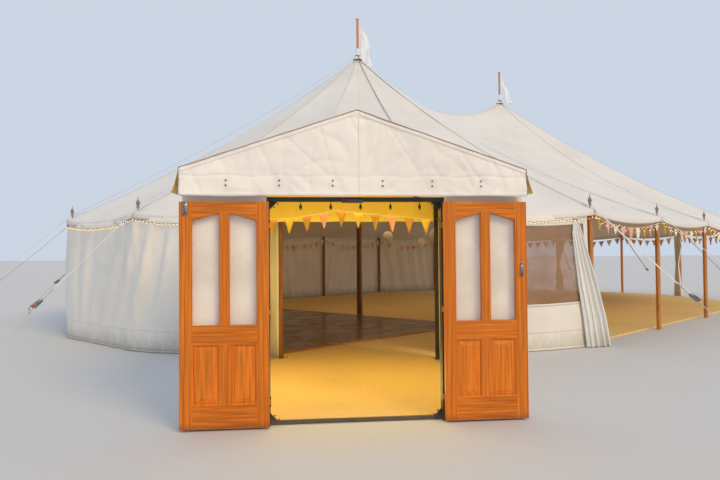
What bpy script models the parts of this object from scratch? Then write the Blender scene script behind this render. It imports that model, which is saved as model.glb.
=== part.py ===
"""Round-ended pole marquee with a framed porch and a pair of glazed doors.

Metres, +Z up. The origin is the foot of the front king pole, on the ground.
The porch faces -Y, and the tent's long axis runs back to the right.
"""
import math

import bmesh
import bpy
from mathutils import Matrix, Vector

# Clearances
TOUCH = 0.0003          # gap between pieces that touch
SHIFT = 0.005           # running gap round a door leaf
WELD = 0.00005          # points nearer than this are one
SET_IN = 0.001          # by which one piece is set in from another that it joins

# Plan of the tent
TENT_TURN = math.radians(45.0)   # from +X to the long axis
KING_SPACING = 6.58
POLE_CIRCLE = 6.57      # from a king pole to the side poles of its round end
END_BAYS = 8            # bays round each end
SIDE_BAYS = 3           # bays along each straight side
HALF_BAY = math.pi / END_BAYS / 2
APOTHEM = POLE_CIRCLE * math.cos(HALF_BAY)

# Roof canvas
PEAK_HEIGHT = 6.38
EAVE_TOP = 2.20
EAVE_BAND = 0.09        # height of the band that hangs at the eave
EAVE_REACH = 0.09       # from the line of side poles out to the band
CANVAS = 0.012
HIP_SAG = 0.27
RIDGE_SAG = 0.80
ROOF_STEPS = 7          # from the peak down to the eave
RIDGE_STEPS = 8         # along the ridge
EAVE_BOTTOM = EAVE_TOP - EAVE_BAND

# Poles
KING_HEIGHT = 7.38
KING_FOOT_RADIUS = 0.070
KING_TOP_RADIUS = 0.052 # where the taper of the thick part would end
KING_SHOULDER = 6.43    # where the slim head starts
KING_HEAD_RADIUS = 0.031
KING_TRUCK_RADIUS = 0.038
KING_TRUCK_HEIGHT = 0.03
KING_SIDES = 16
SIDE_RADIUS = 0.045
SIDE_SIDES = 12
SPIKE_RADIUS = 0.010
FINIAL_HEIGHT = 0.20
FINIAL_RADIUS = 0.036
FINIAL_NECK = 0.015

# Guys
GUY_REACH = 2.50        # from the side pole out to the stake
GUY_STAKE_TOP = 0.16
GUY_STAKE_RADIUS = 0.014
GUY_STAKE_LEAN = 0.030  # the stake's top stands this far out from where it meets the ground
GUY_EYE_WALL = 0.010
GUY_EYE_HEIGHT = 0.020
WEB_WIDTH = 0.050
WEB_THICK = 0.005
WEB_SHARE = 0.66        # share of the guy's length that is webbing
ROPE_RADIUS = 0.009
RATCHET = (0.15, 0.06, 0.035)

# Fabric walls
WALL = 0.012
WALL_TOP = 2.165
WALL_OUT = EAVE_REACH - CANVAS - TOUCH   # outer face, from the line of side poles
WALL_IN = WALL_OUT - WALL
PANE_SIDE = 0.20        # wall left beside the clear window
PANE_LOW = 0.71
PANE_HIGH = 1.98
PANE = 0.004

# Porch
PORCH_X = -0.220
PORCH_FRONT = -10.07    # front plane of the timber and metal frame
PORCH_TURN = math.radians(5.0)   # the porch stands so far out of square with its bay
PORCH_HALF = 1.54
PORCH_EAVE = 2.25
PORCH_RIDGE = 2.77
PORCH_SKIN = 0.012
FASCIA_LOW = 2.012
FASCIA_AHEAD = 0.100
VALANCE_LOW = 2.04
FRAME = 0.050           # square section of the porch frame
HEADER_LOW = 1.972
GUSSET = 0.090
GUSSET_THICK = 0.008
REAR_HEADER_LOW = HEADER_LOW + 0.004
THRESHOLD = (0.045, 0.032)   # depth and height
PORCH_TO_EAVE = 0.060   # from the porch's back end to the tent's eave band

# Doors
LEAF_WIDTH = 0.762
LEAF_HEIGHT = 1.950
LEAF_THICK = 0.044
LEAF_FOOT = 0.014
STILE = 0.104
MUNTIN = 0.082
TOP_RAIL = 0.096
TOP_RAIL_DROP = 0.065   # how far the rail's underside falls towards the stiles
LOCK_RAIL_LOW = 0.720
LOCK_RAIL = 0.160
BOTTOM_RAIL = 0.200
LIGHT_LOW = LOCK_RAIL_LOW + LOCK_RAIL
LIGHT_HIGH = LEAF_HEIGHT - TOP_RAIL
GLASS = 0.005
GLASS_GROOVE = 0.009    # how far the glass runs into the wood round a light
PANEL_THICK = 0.010
HINGE_AHEAD = 0.020     # from the frame's front plane to the hinge axis
KNUCKLE_RADIUS = 0.007
KNUCKLE = 0.045
HINGE_HEIGHTS = (0.22, 1.00, 1.76)
FLAP_ASIDE = 0.001      # from the hinge axis to the side of a hinge flap
FLAP_THICK = 0.008
FLAP_LAP = 0.003        # how far a flap runs into the leaf, and past the axis
FLAP_SHORT = 0.001      # by which a flap is shorter than its knuckle, at each end
MEETING_GAP = 0.009     # between the two closed leaves
DOOR_HALF = SHIFT + LEAF_WIDTH + MEETING_GAP / 2     # half of the clear opening

# Floors
FLOOR = 0.028
FLOOR_INSET = 0.15      # from the line of side poles
FLOOR_SIDE_GAP = 0.06   # from the porch floor to the porch walls
TONGUE_INSET = 0.11     # beside the two doorway poles
DANCE_LENGTH = 5.10
DANCE_WIDTH = 6.80
DANCE_THICK = 0.016
DANCE_FROM_POLE = 0.10  # from the front king pole's middle

# Gathered cloth
GATHER_TOP = 2.09

COLLECTION = "pole_marquee"


def clear_scene():
    for item in list(bpy.data.objects):
        bpy.data.objects.remove(item, do_unlink=True)


def new_collection(name):
    group = bpy.data.collections.new(name)
    bpy.context.scene.collection.children.link(group)
    return group


def make_material(name, colour, roughness, metallic=0.0):
    material = bpy.data.materials.new(name)
    material.use_nodes = True
    shader = material.node_tree.nodes["Principled BSDF"]
    shader.inputs["Base Color"].default_value = (*colour, 1.0)
    shader.inputs["Roughness"].default_value = roughness
    shader.inputs["Metallic"].default_value = metallic
    return material


# Making solids

def add_object(name, mesh, material, group):
    item = bpy.data.objects.new(name, mesh)
    group.objects.link(item)
    if material and not mesh.materials:
        mesh.materials.append(material)
    return item


def mesh_from(bm, name):
    bmesh.ops.recalc_face_normals(bm, faces=bm.faces)
    mesh = bpy.data.meshes.new(name)
    bm.to_mesh(mesh)
    bm.free()
    return mesh


def box_mesh(name, low, high):
    bm = bmesh.new()
    bmesh.ops.create_cube(bm, size=1.0)
    low, high = Vector(low), Vector(high)
    for vert in bm.verts:
        vert.co = (low + high) / 2 + Vector(c * d for c, d in zip(vert.co, high - low))
    return mesh_from(bm, name)


def rod_mesh(name, start, end, radius, sides):
    """A closed cylinder from start to end."""
    start, end = Vector(start), Vector(end)
    bm = bmesh.new()
    bmesh.ops.create_cone(bm, cap_ends=True, segments=sides, radius1=radius, radius2=radius,
                          depth=(end - start).length)
    turn = (end - start).to_track_quat("Z", "Y").to_matrix().to_4x4()
    bmesh.ops.transform(bm, matrix=Matrix.Translation((start + end) / 2) @ turn, verts=bm.verts)
    return mesh_from(bm, name)


def slab_mesh(name, outline, low, high, plane="XY"):
    """A flat outline raised from low to high, square to its plane."""
    place = {"XY": lambda p, h: (p[0], p[1], h),
             "XZ": lambda p, h: (p[0], h, p[1]),
             "YZ": lambda p, h: (h, p[0], p[1])}[plane]
    bm = bmesh.new()
    face = bm.faces.new([bm.verts.new(place(p, low)) for p in outline])
    raised = bmesh.ops.extrude_face_region(bm, geom=[face])["geom"]
    step = Vector(place((0, 0), high)) - Vector(place((0, 0), low))
    bmesh.ops.translate(bm, vec=step, verts=[g for g in raised if isinstance(g, bmesh.types.BMVert)])
    return mesh_from(bm, name)


def loft_mesh(name, sections):
    """A solid through closed sections that have the same number of points."""
    bm = bmesh.new()
    rings = [[bm.verts.new(p) for p in section] for section in sections]
    count = len(rings[0])
    for ring, after in zip(rings, rings[1:]):
        for i in range(count):
            j = (i + 1) % count
            bm.faces.new((ring[i], ring[j], after[j], after[i]))
    bm.faces.new(rings[0])
    bm.faces.new(rings[-1])
    return mesh_from(bm, name)


def turned(name, profile, sides, material, group):
    """A solid turned round Z from a profile of (radius, height), top to bottom."""
    mesh = bpy.data.meshes.new(name)
    edges = [(i, i + 1) for i in range(len(profile) - 1)]
    mesh.from_pydata([(radius, 0.0, height) for radius, height in profile], edges, [])
    item = add_object(name, mesh, material, group)
    screw = item.modifiers.new("turn", "SCREW")
    screw.axis = "Z"
    screw.steps = screw.render_steps = sides
    screw.use_merge_vertices = True
    screw.merge_threshold = 0.00001
    return item


def combine(target, tools, operation):
    """Boolean modifiers on target, one for each tool, whose objects stay hidden as guides."""
    for tool in tools:
        tool.hide_render = True
        tool.display_type = "WIRE"
        cut = target.modifiers.new(tool.name, "BOOLEAN")
        cut.operation = operation
        cut.solver = "EXACT"
        cut.object = tool


def fused(name, meshes, material, group, guides):
    """One solid from overlapping meshes."""
    item = add_object(name, meshes[0], material, group)
    extra = [add_object(f"{name}_with_{i}", mesh, None, guides) for i, mesh in enumerate(meshes[1:])]
    combine(item, extra, "UNION")
    return item


def weld(item):
    """Merge the stray points that cuts leave on one another."""
    merge = item.modifiers.new("weld", "WELD")
    merge.merge_threshold = WELD


def finished_mesh(item, name):
    """The mesh that an object shows, with its modifiers taken in."""
    bpy.context.view_layer.update()
    depsgraph = bpy.context.evaluated_depsgraph_get()
    mesh = bpy.data.meshes.new_from_object(item.evaluated_get(depsgraph))
    mesh.name = name
    return mesh


# Places in the plan

def in_frame(along, across):
    """From the tent's own plan, along and across its long axis, to X and Y."""
    c, s = math.cos(TENT_TURN), math.sin(TENT_TURN)
    return Vector((along * c + across * s, along * s - across * c))


def corner_angle(k):
    """The way from the front king pole to corner k of its round end, from the long axis."""
    return math.pi / 2 + HALF_BAY * (2 * k + 1)


def end_corner(end, k, out=0.0):
    """Corner k of round end 0 (front) or 1 (back), moved out square to its bays."""
    angle = corner_angle(k)
    reach = POLE_CIRCLE + out / math.cos(HALF_BAY)
    along, across = reach * math.cos(angle), reach * math.sin(angle)
    return (along if end == 0 else KING_SPACING - along, across)


def side_corner(j, side, out=0.0):
    """Corner j along a straight side, counted from the front end; side is +1 near, -1 far."""
    k = 0 if side > 0 else END_BAYS - 1
    first = end_corner(0, k, out)[0]
    last = end_corner(1, k, out)[0]
    return (first + (last - first) * j / SIDE_BAYS, side * (APOTHEM + out))


def ring_places():
    """Each side pole's key, going round from the porch side of the front end."""
    front = [("end", 0, k) for k in range(END_BAYS)]
    far = [("side", j, -1) for j in range(1, SIDE_BAYS)]
    back = [("end", 1, k) for k in reversed(range(END_BAYS))]
    near = [("side", j, 1) for j in reversed(range(1, SIDE_BAYS))]
    return front + far + back + near


def place(key, out=0.0):
    kind, a, b = key
    along, across = end_corner(a, b, out) if kind == "end" else side_corner(a, b, out)
    return in_frame(along, across)


def outward(key):
    """The way out of the tent at a side pole, as an angle from +X."""
    step = place(key, EAVE_REACH) - place(key)
    if key[0] == "side":
        step = in_frame(0.0, key[2])
    return math.atan2(step.y, step.x)


RING = ring_places()
DOOR_POLES = [i for i, key in enumerate(RING) if key[0] == "end" and key[1] == 0 and
              key[2] in (END_BAYS // 4 - 1, END_BAYS // 4)]


# The roof's surface

def roof_height(share, top):
    """Height of the canvas's upper face, at a share of the way from the peak to the eave."""
    return top - (top - EAVE_TOP) * share - 4 * HIP_SAG * share * (1 - share)


def roof_shares(hole=0.0):
    return [max(hole, i / ROOF_STEPS) for i in range(ROOF_STEPS + 1)]


def ridge_height(along):
    share = along / KING_SPACING
    return PEAK_HEIGHT - 4 * RIDGE_SAG * share * (1 - share)


def roof_end_section(angle, reach, band, hole):
    """Closed section of a round end in the upright plane at one angle."""
    shares = roof_shares(hole / reach)
    top = [(share * reach, roof_height(share, PEAK_HEIGHT)) for share in shares]
    under = [(radius, height - CANVAS) for radius, height in top[:-1]]
    under.append((reach - band, EAVE_TOP + END_SLOPE * CANVAS - CANVAS))
    return top + [(reach, EAVE_BOTTOM), (reach - band, EAVE_BOTTOM)] + under[::-1]


def end_stations():
    """The angle of each upright plane where a round end's canvas folds, and the reach to its eave there."""
    flat = APOTHEM + EAVE_REACH
    corners = [(corner_angle(k), flat / math.cos(HALF_BAY)) for k in range(END_BAYS)]
    return [(math.pi / 2, flat)] + corners + [(3 * math.pi / 2, flat)]


def front_envelope(guides):
    """All that lies under the front round end's canvas, and the canvas itself, with a touch more."""
    sections = []
    for angle, reach in end_stations():
        line = [(share * reach, roof_height(share, PEAK_HEIGHT)) for share in roof_shares(KING_FOOT_RADIUS)]
        line[-1] = (reach, EAVE_TOP)
        section = []
        for radius, height in [(line[0][0], 0.0)] + line + [(reach, 0.0)]:
            spot = in_frame((radius + TOUCH) * math.cos(angle), (radius + TOUCH) * math.sin(angle))
            section.append((spot.x, spot.y, height + TOUCH))
        sections.append(section)
    return add_object("front_envelope", loft_mesh("front_envelope", sections), None, guides)


def make_roof_end(end, name, material, group, guides):
    hole = (KING_RADIUS_AT_PEAK + TOUCH) / math.cos(HALF_BAY)
    flat = APOTHEM + EAVE_REACH
    sections = []
    for angle, reach in end_stations():
        band = CANVAS * reach / flat
        section = []
        for radius, height in roof_end_section(angle, reach, band, hole):
            along = radius * math.cos(angle) - TOUCH / 2
            if end == 1:
                along = KING_SPACING - along
            spot = in_frame(along, radius * math.sin(angle))
            section.append((spot.x, spot.y, height))
        sections.append(section)
    roof = add_object(name, loft_mesh(name, sections), material, group)
    cut_spike_holes(roof, [key for key in RING if key[0] == "end" and key[1] == end], guides)


def make_roof_middle(material, group, guides):
    flat = APOTHEM + EAVE_REACH
    sections = []
    for i in range(RIDGE_STEPS + 1):
        along = TOUCH / 2 + (KING_SPACING - TOUCH) * i / RIDGE_STEPS
        crest = ridge_height(along)
        half = [(share * flat, roof_height(share, crest)) for share in roof_shares()]
        edge = flat - CANVAS
        under = [(t, z - CANVAS) for t, z in half[:-1]]
        under.append((edge, EAVE_TOP + eave_slope(crest) * CANVAS - CANVAS))
        near = half + [(flat, EAVE_BOTTOM), (edge, EAVE_BOTTOM)] + under[::-1]
        upper = near[:len(half) + 1]
        lower = near[len(half) + 1:]
        loop = upper + lower
        loop += [(-t, z) for t, z in lower[::-1][1:]]
        loop += [(-t, z) for t, z in upper[::-1][:-1]]
        section = []
        for across, height in loop:
            spot = in_frame(along, across)
            section.append((spot.x, spot.y, height))
        sections.append(section)
    roof = add_object("roof_middle", loft_mesh("roof_middle", sections), material, group)
    for end, along in enumerate((0.0, KING_SPACING)):
        spot = in_frame(along, 0.0)
        mesh = rod_mesh(f"king_hole_{end}", (spot.x, spot.y, EAVE_TOP), (spot.x, spot.y, KING_HEIGHT),
                        (KING_RADIUS_AT_PEAK + TOUCH) / math.cos(HALF_BAY), KING_SIDES)
        combine(roof, [add_object(mesh.name, mesh, None, guides)], "DIFFERENCE")
    cut_spike_holes(roof, [key for key in RING if key[0] == "side"], guides)


def cut_spike_holes(roof, keys, guides):
    for key in keys:
        spot = place(key)
        name = f"{roof.name}_spike_{RING.index(key) + 1:02d}"
        mesh = rod_mesh(name, (spot.x, spot.y, EAVE_BOTTOM), (spot.x, spot.y, EAVE_TOP + 0.2),
                        (SPIKE_RADIUS + TOUCH) / math.cos(math.pi / SIDE_SIDES), SIDE_SIDES)
        combine(roof, [add_object(name, mesh, None, guides)], "DIFFERENCE")
    weld(roof)


# Poles

def king_radius(height):
    """The thick part of the king pole tapers evenly from its foot."""
    return KING_FOOT_RADIUS + (KING_TOP_RADIUS - KING_FOOT_RADIUS) * height / KING_HEIGHT


KING_RADIUS_AT_PEAK = king_radius(PEAK_HEIGHT)


def make_king_poles(material, group):
    neck = KING_HEIGHT - KING_TRUCK_HEIGHT
    profile = [(0.0, KING_HEIGHT), (KING_TRUCK_RADIUS * 0.6, KING_HEIGHT),
               (KING_TRUCK_RADIUS, KING_HEIGHT - KING_TRUCK_HEIGHT / 2), (KING_TRUCK_RADIUS, neck),
               (KING_HEAD_RADIUS, neck), (KING_HEAD_RADIUS, KING_SHOULDER),
               (king_radius(KING_SHOULDER), KING_SHOULDER), (KING_FOOT_RADIUS, 0.0), (0.0, 0.0)]
    for name, along in (("king_pole_front", 0.0), ("king_pole_back", KING_SPACING)):
        pole = turned(name, profile, KING_SIDES, material, group)
        spot = in_frame(along, 0.0)
        pole.location = (spot.x, spot.y, 0.0)


def eave_slope(crest):
    """How steeply the canvas falls over its last step to the eave, below a crest of this height."""
    step = roof_height(1 - 1 / ROOF_STEPS, crest) - EAVE_TOP
    return step * ROOF_STEPS / (APOTHEM + EAVE_REACH)


# Height of the canvas over a round end's side poles, and of the poles' shoulders under all of it
END_SLOPE = eave_slope(PEAK_HEIGHT)
CANVAS_AT_POLE = EAVE_TOP + END_SLOPE * EAVE_REACH
MIDDLE_SLOPE = eave_slope(PEAK_HEIGHT - RIDGE_SAG)
POLE_SHOULDER = EAVE_TOP - CANVAS + MIDDLE_SLOPE * (EAVE_REACH - SIDE_RADIUS) - 2 * TOUCH

# The guy leaves its eye high enough to clear the edge of the canvas
GUY_SLOPE = (EAVE_TOP - GUY_STAKE_TOP) / GUY_REACH
GUY_EYE_LOW = max(CANVAS_AT_POLE + END_SLOPE * (SPIKE_RADIUS + GUY_EYE_WALL + WEB_THICK),
                  EAVE_TOP + GUY_SLOPE * EAVE_REACH - GUY_EYE_HEIGHT / 2) + WEB_THICK
FINIAL_FOOT = GUY_EYE_LOW + GUY_EYE_HEIGHT + TOUCH


def make_side_poles(material, group):
    """Round poles, each with a spike through the canvas and, clear of the porch, a turned finial."""
    foot = [(SPIKE_RADIUS, POLE_SHOULDER), (SIDE_RADIUS, POLE_SHOULDER), (SIDE_RADIUS, 0.0), (0.0, 0.0)]
    tip = FINIAL_FOOT + FINIAL_HEIGHT
    finial = [(0.0, tip), (FINIAL_NECK / 2, tip - FINIAL_HEIGHT * 0.35),
              (FINIAL_RADIUS, tip - FINIAL_HEIGHT * 0.62), (FINIAL_RADIUS * 0.8, tip - FINIAL_HEIGHT * 0.75),
              (FINIAL_NECK, tip - FINIAL_HEIGHT * 0.82), (FINIAL_RADIUS * 0.75, tip - FINIAL_HEIGHT * 0.92),
              (FINIAL_RADIUS * 0.75, FINIAL_FOOT), (SPIKE_RADIUS, FINIAL_FOOT)]
    hidden = CANVAS_AT_POLE - CANVAS / 2
    for i, key in enumerate(RING):
        head = [(0.0, hidden), (SPIKE_RADIUS, hidden)] if i in DOOR_POLES else finial
        pole = turned(f"side_pole_{i + 1:02d}", head + foot, SIDE_SIDES, material, group)
        spot = place(key)
        pole.location = (spot.x, spot.y, 0.0)
        pole.rotation_euler.z = outward(key)


# Guys

def make_guys(material, group, guides):
    """Each guy is webbing from an eye on the spike, a ratchet, a rope and its stake."""
    eye_middle = GUY_EYE_LOW + GUY_EYE_HEIGHT / 2
    eye_radius = SPIKE_RADIUS + GUY_EYE_WALL
    top = Vector((eye_radius - GUY_EYE_WALL / 2, 0.0, eye_middle))
    stake_low = Vector((GUY_REACH - GUY_STAKE_LEAN, 0.0, -GUY_STAKE_TOP))
    stake_high = Vector((GUY_REACH + GUY_STAKE_LEAN, 0.0, GUY_STAKE_TOP))
    foot = stake_low.lerp(stake_high, 0.9)
    run = foot - top
    tilt = Matrix.Rotation(math.atan2(-run.z, run.x), 4, "Y")
    join = top + run * WEB_SHARE

    def along_guy(name, start, end, width, thick):
        """A bar that follows the guy between two shares of its length."""
        length = run.length * (end - start)
        mesh = box_mesh(name, (0.0, -width / 2, -thick / 2), (length, width / 2, thick / 2))
        mesh.transform(Matrix.Translation(top + run * start) @ tilt)
        return mesh

    half_ratchet = RATCHET[0] / 2 / run.length
    web = along_guy("guy_web", 0.0, WEB_SHARE, WEB_WIDTH, WEB_THICK)
    ratchet = along_guy("guy_ratchet", WEB_SHARE - half_ratchet, WEB_SHARE + half_ratchet,
                        RATCHET[1], RATCHET[2])
    rope = rod_mesh("guy_rope", join, foot, ROPE_RADIUS, 8)
    stake = rod_mesh("guy_stake", stake_low, stake_high, GUY_STAKE_RADIUS, 10)
    eye = rod_mesh("guy_eye", (0.0, 0.0, GUY_EYE_LOW), (0.0, 0.0, GUY_EYE_LOW + GUY_EYE_HEIGHT),
                   eye_radius, 16)
    guy = fused("guy_pattern", [eye, web, ratchet, rope, stake], material, guides, guides)
    bore = rod_mesh("guy_bore", (0.0, 0.0, GUY_EYE_LOW - 0.1), (0.0, 0.0, GUY_EYE_LOW + 0.2),
                    (SPIKE_RADIUS + TOUCH) / math.cos(math.pi / SIDE_SIDES), SIDE_SIDES)
    ground = box_mesh("guy_ground", (GUY_REACH - 0.5, -0.5, -0.5), (GUY_REACH + 0.5, 0.5, 0.0))
    cuts = [add_object(mesh.name, mesh, None, guides) for mesh in (bore, ground)]
    combine(guy, cuts, "DIFFERENCE")
    weld(guy)
    guy.hide_render = True
    guy.display_type = "WIRE"
    mesh = finished_mesh(guy, "guy")
    for i, key in enumerate(RING):
        if i in DOOR_POLES:
            continue
        line = add_object(f"guy_{i + 1:02d}", mesh, material, group)
        spot = place(key)
        line.location = (spot.x, spot.y, 0.0)
        line.rotation_euler.z = outward(key)


# Fabric walls

def wall_outline(keys):
    """Outline of a wall that follows side poles, trimmed by half a joint at each end."""
    outline = []
    for out in (WALL_OUT, WALL_IN):
        line = [place(key, out) for key in keys]
        line[0] += (line[1] - line[0]).normalized() * TOUCH / 2
        line[-1] += (line[-2] - line[-1]).normalized() * TOUCH / 2
        outline.append(line)
    return outline[0] + outline[1][::-1]


def make_walls(material, group):
    window = END_BAYS // 4 - 1
    runs = {"wall_left": RING[window + 1:END_BAYS // 2 + 1],
            "wall_back_left": RING[END_BAYS // 2:END_BAYS],
            "wall_back": RING[END_BAYS - 1:END_BAYS + SIDE_BAYS + 1]}
    for name, keys in runs.items():
        add_object(name, slab_mesh(name, wall_outline(keys), 0.0, WALL_TOP), material, group)


def make_window_bay(material, clear, group, guides):
    """The bay right of the porch, with a clear window welded into it."""
    window = END_BAYS // 4 - 1
    keys = RING[window - 1:window + 1]
    wall = add_object("wall_window", slab_mesh("wall_window", wall_outline(keys), 0.0, WALL_TOP),
                      material, group)
    start, end = place(keys[0]), place(keys[1])
    run = (end - start).normalized()
    out = Vector((run.y, -run.x))
    if out.dot(start) < 0:
        out = -out
    width = (end - start).length

    def upright(name, inset, low, high, inner, outer):
        corners = [start + run * inset + out * inner, start + run * (width - inset) + out * inner,
                   start + run * (width - inset) + out * outer, start + run * inset + out * outer]
        return slab_mesh(name, corners, low, high)

    cut = upright("window_cut", PANE_SIDE, PANE_LOW, PANE_HIGH, WALL_IN - 0.1, WALL_OUT + 0.1)
    combine(wall, [add_object(cut.name, cut, None, guides)], "DIFFERENCE")
    middle = (WALL_IN + WALL_OUT) / 2
    pane = upright("window_pane", PANE_SIDE + TOUCH, PANE_LOW + TOUCH, PANE_HIGH - TOUCH,
                   middle - PANE / 2, middle + PANE / 2)
    add_object("window_pane", pane, clear, group)


def make_wall_gather(material, group):
    """The loose end of a wall, gathered outside the last window pole."""
    key = RING[END_BAYS // 4 - 2]
    pole = place(key)
    side = (place(RING[END_BAYS // 4 - 1]) - pole).normalized()
    out = Vector((side.y, -side.x))
    if out.dot(pole) < 0:
        out = -out
    stations = ((GATHER_TOP, 0.25, 0.035, 0.020), (1.60, 0.21, 0.055, 0.035),
                (1.10, 0.14, 0.085, 0.050), (0.55, 0.05, 0.125, 0.060), (0.0, -0.02, 0.150, 0.065))
    sections = []
    for height, beside, half_width, half_depth in stations:
        ring = []
        for i in range(12):
            angle = math.tau * i / 12
            spot = (pole + side * (beside + half_width * math.cos(angle)) +
                    out * (WALL_OUT + TOUCH + half_depth * (1 + math.sin(angle))))
            ring.append((spot.x, spot.y, height))
        sections.append(ring)
    add_object("wall_gather", loft_mesh("wall_gather", sections), material, group)


# Porch, made square to X and Y and turned about the middle of its front

def porch_turn():
    middle = Vector((PORCH_X, PORCH_FRONT, 0.0))
    return Matrix.Translation(middle) @ Matrix.Rotation(PORCH_TURN, 4, "Z") @ Matrix.Translation(-middle)


def porch_spot(x, y):
    return (porch_turn() @ Vector((x, y, 0.0))).xy


def turned_mesh(mesh):
    """A mesh of the porch, turned into its place."""
    mesh.transform(porch_turn())
    return mesh


def porch_back(x):
    """Y, before the turn, where the porch's walls and valance stop, clear of the tent's eave band."""
    near, far = PORCH_FRONT, 0.0
    for _ in range(40):
        middle = (near + far) / 2
        spot = porch_spot(PORCH_X + x, middle)
        share = 0.0
        for k in range(END_BAYS + 1):
            angle = math.pi / 2 + 2 * HALF_BAY * k
            share = max(share, spot.dot(in_frame(math.cos(angle), math.sin(angle))))
        if share > APOTHEM + EAVE_REACH + PORCH_TO_EAVE:
            near = middle
        else:
            far = middle
    return near


def slope_height(x):
    """Upper face of the porch roof at a distance from its centre line."""
    return PORCH_RIDGE - (PORCH_RIDGE - PORCH_EAVE) * abs(x) / PORCH_HALF


def make_porch_cover(material, group, guides):
    front = PORCH_FRONT - FASCIA_AHEAD
    side = PORCH_HALF - PORCH_SKIN
    outer = [(-PORCH_HALF, VALANCE_LOW), (-PORCH_HALF, PORCH_EAVE), (0.0, PORCH_RIDGE),
             (PORCH_HALF, PORCH_EAVE), (PORCH_HALF, VALANCE_LOW)]
    under = slope_height(side) - PORCH_SKIN
    inner = [(side, VALANCE_LOW), (side, under), (0.0, PORCH_RIDGE - PORCH_SKIN), (-side, under),
             (-side, VALANCE_LOW)]
    profile = [(PORCH_X + x, z) for x, z in outer + inner]
    gable = [(-PORCH_HALF + SET_IN, FASCIA_LOW), (PORCH_HALF - SET_IN, FASCIA_LOW),
             (PORCH_HALF - SET_IN, PORCH_EAVE - SET_IN), (0.0, PORCH_RIDGE - SET_IN),
             (-PORCH_HALF + SET_IN, PORCH_EAVE - SET_IN)]
    gable = [(PORCH_X + x, z) for x, z in gable]
    parts = [slab_mesh("porch_cover", profile, front, PORCH_FRONT / 2, "XZ"),
             slab_mesh("porch_fascia", gable, front + SET_IN, front + PORCH_SKIN, "XZ")]
    cover = fused("porch_cover", [turned_mesh(mesh) for mesh in parts], material, group, guides)
    combine(cover, [front_envelope(guides)], "DIFFERENCE")
    weld(cover)


def make_porch_walls(material, group):
    """Each wall wraps from the door jamb round the corner post and back to the tent."""
    outer = PORCH_HALF - PORCH_SKIN - TOUCH
    jamb = DOOR_HALF + FRAME / 2
    face = PORCH_FRONT - TOUCH
    for name, side in (("porch_wall_left", -1), ("porch_wall_right", 1)):
        back = porch_back(side * PORCH_HALF)
        outline = [(jamb, face - WALL), (outer, face - WALL), (outer, back), (outer - WALL, back),
                   (outer - WALL, face), (jamb, face)]
        outline = [(PORCH_X + side * x, y) for x, y in outline]
        low, high = 0.0, FASCIA_LOW + 0.16
        add_object(name, turned_mesh(slab_mesh(name, outline, low, high)), material, group)


def porch_rear():
    """Y, before the turn, of the back of the porch frame."""
    return min(porch_back(PORCH_HALF), porch_back(-PORCH_HALF)) - TOUCH


def make_porch_frame(material, group, guides):
    """Front frame with the doorway, back portal and eave beams.

    Each kind of bar is set in from the one it runs into, so that no faces share a plane.
    """
    corner = PORCH_HALF - PORCH_SKIN - WALL - 2 * TOUCH      # outer side of the corner posts
    top = slope_height(corner) - PORCH_SKIN - TOUCH
    front, back = PORCH_FRONT, PORCH_FRONT + FRAME
    rear = porch_rear()
    stop = PORCH_FRONT + LEAF_THICK + SHIFT
    stop_back = stop + THRESHOLD[0]
    parts = []

    def bar(name, xs, ys, zs, steps):
        """A bar between the given limits, set in from them on every side by so many steps."""
        cut = steps * SET_IN
        low = (PORCH_X + min(xs) + cut, min(ys) + cut, min(zs) + cut)
        high = (PORCH_X + max(xs) - cut, max(ys) - cut, max(zs) - cut)
        parts.append(box_mesh(name, low, high))

    for side in (-1, 1):
        post = (side * corner, side * (corner - FRAME))
        bar("corner_post", post, (front, back), (0.0, top), 0)
        bar("rear_post", post, (rear - FRAME, rear), (0.0, top), 0)
        bar("eave_beam", post, (front, rear), (top - FRAME, top), 2)
        bar("rail_beam", post, (front, rear), (HEADER_LOW, HEADER_LOW + FRAME), 4)
        jamb = (side * DOOR_HALF, side * (DOOR_HALF + FRAME))
        bar("door_jamb", jamb, (front, stop_back), (0.0, FASCIA_LOW - SET_IN), 0)
    bar("front_beam", (-corner, corner), (front, back), (top - FRAME, top), 1)
    bar("rear_beam", (-corner, corner), (rear - FRAME, rear), (top - FRAME, top), 1)
    bar("door_header", (-corner, corner), (front, back), (HEADER_LOW - SET_IN, FASCIA_LOW), 1)
    bar("rear_header", (-corner, corner), (rear - FRAME, rear), (REAR_HEADER_LOW - SET_IN, FASCIA_LOW), 1)
    lap = DOOR_HALF + FRAME / 4
    bar("head_stop", (-lap, lap), (back - FRAME / 4, stop_back), (HEADER_LOW, FASCIA_LOW), 3)
    bar("threshold", (-lap, lap), (stop, stop_back), (0.0, THRESHOLD[1]), 1)
    for side in (-1, 1):
        for level, rise in ((HEADER_LOW + FRAME / 4, -1), (THRESHOLD[1] - FRAME / 4, 1)):
            edge = DOOR_HALF + FRAME / 5
            outline = [(PORCH_X + side * edge, level), (PORCH_X + side * edge, level + rise * GUSSET),
                       (PORCH_X + side * (edge - GUSSET), level)]
            start = stop + 6 * SET_IN
            parts.append(slab_mesh("gusset", outline, start, start + GUSSET_THICK, "XZ"))
    parts += frame_knuckles()
    weld(fused("porch_frame", [turned_mesh(mesh) for mesh in parts], material, group, guides))


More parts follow.
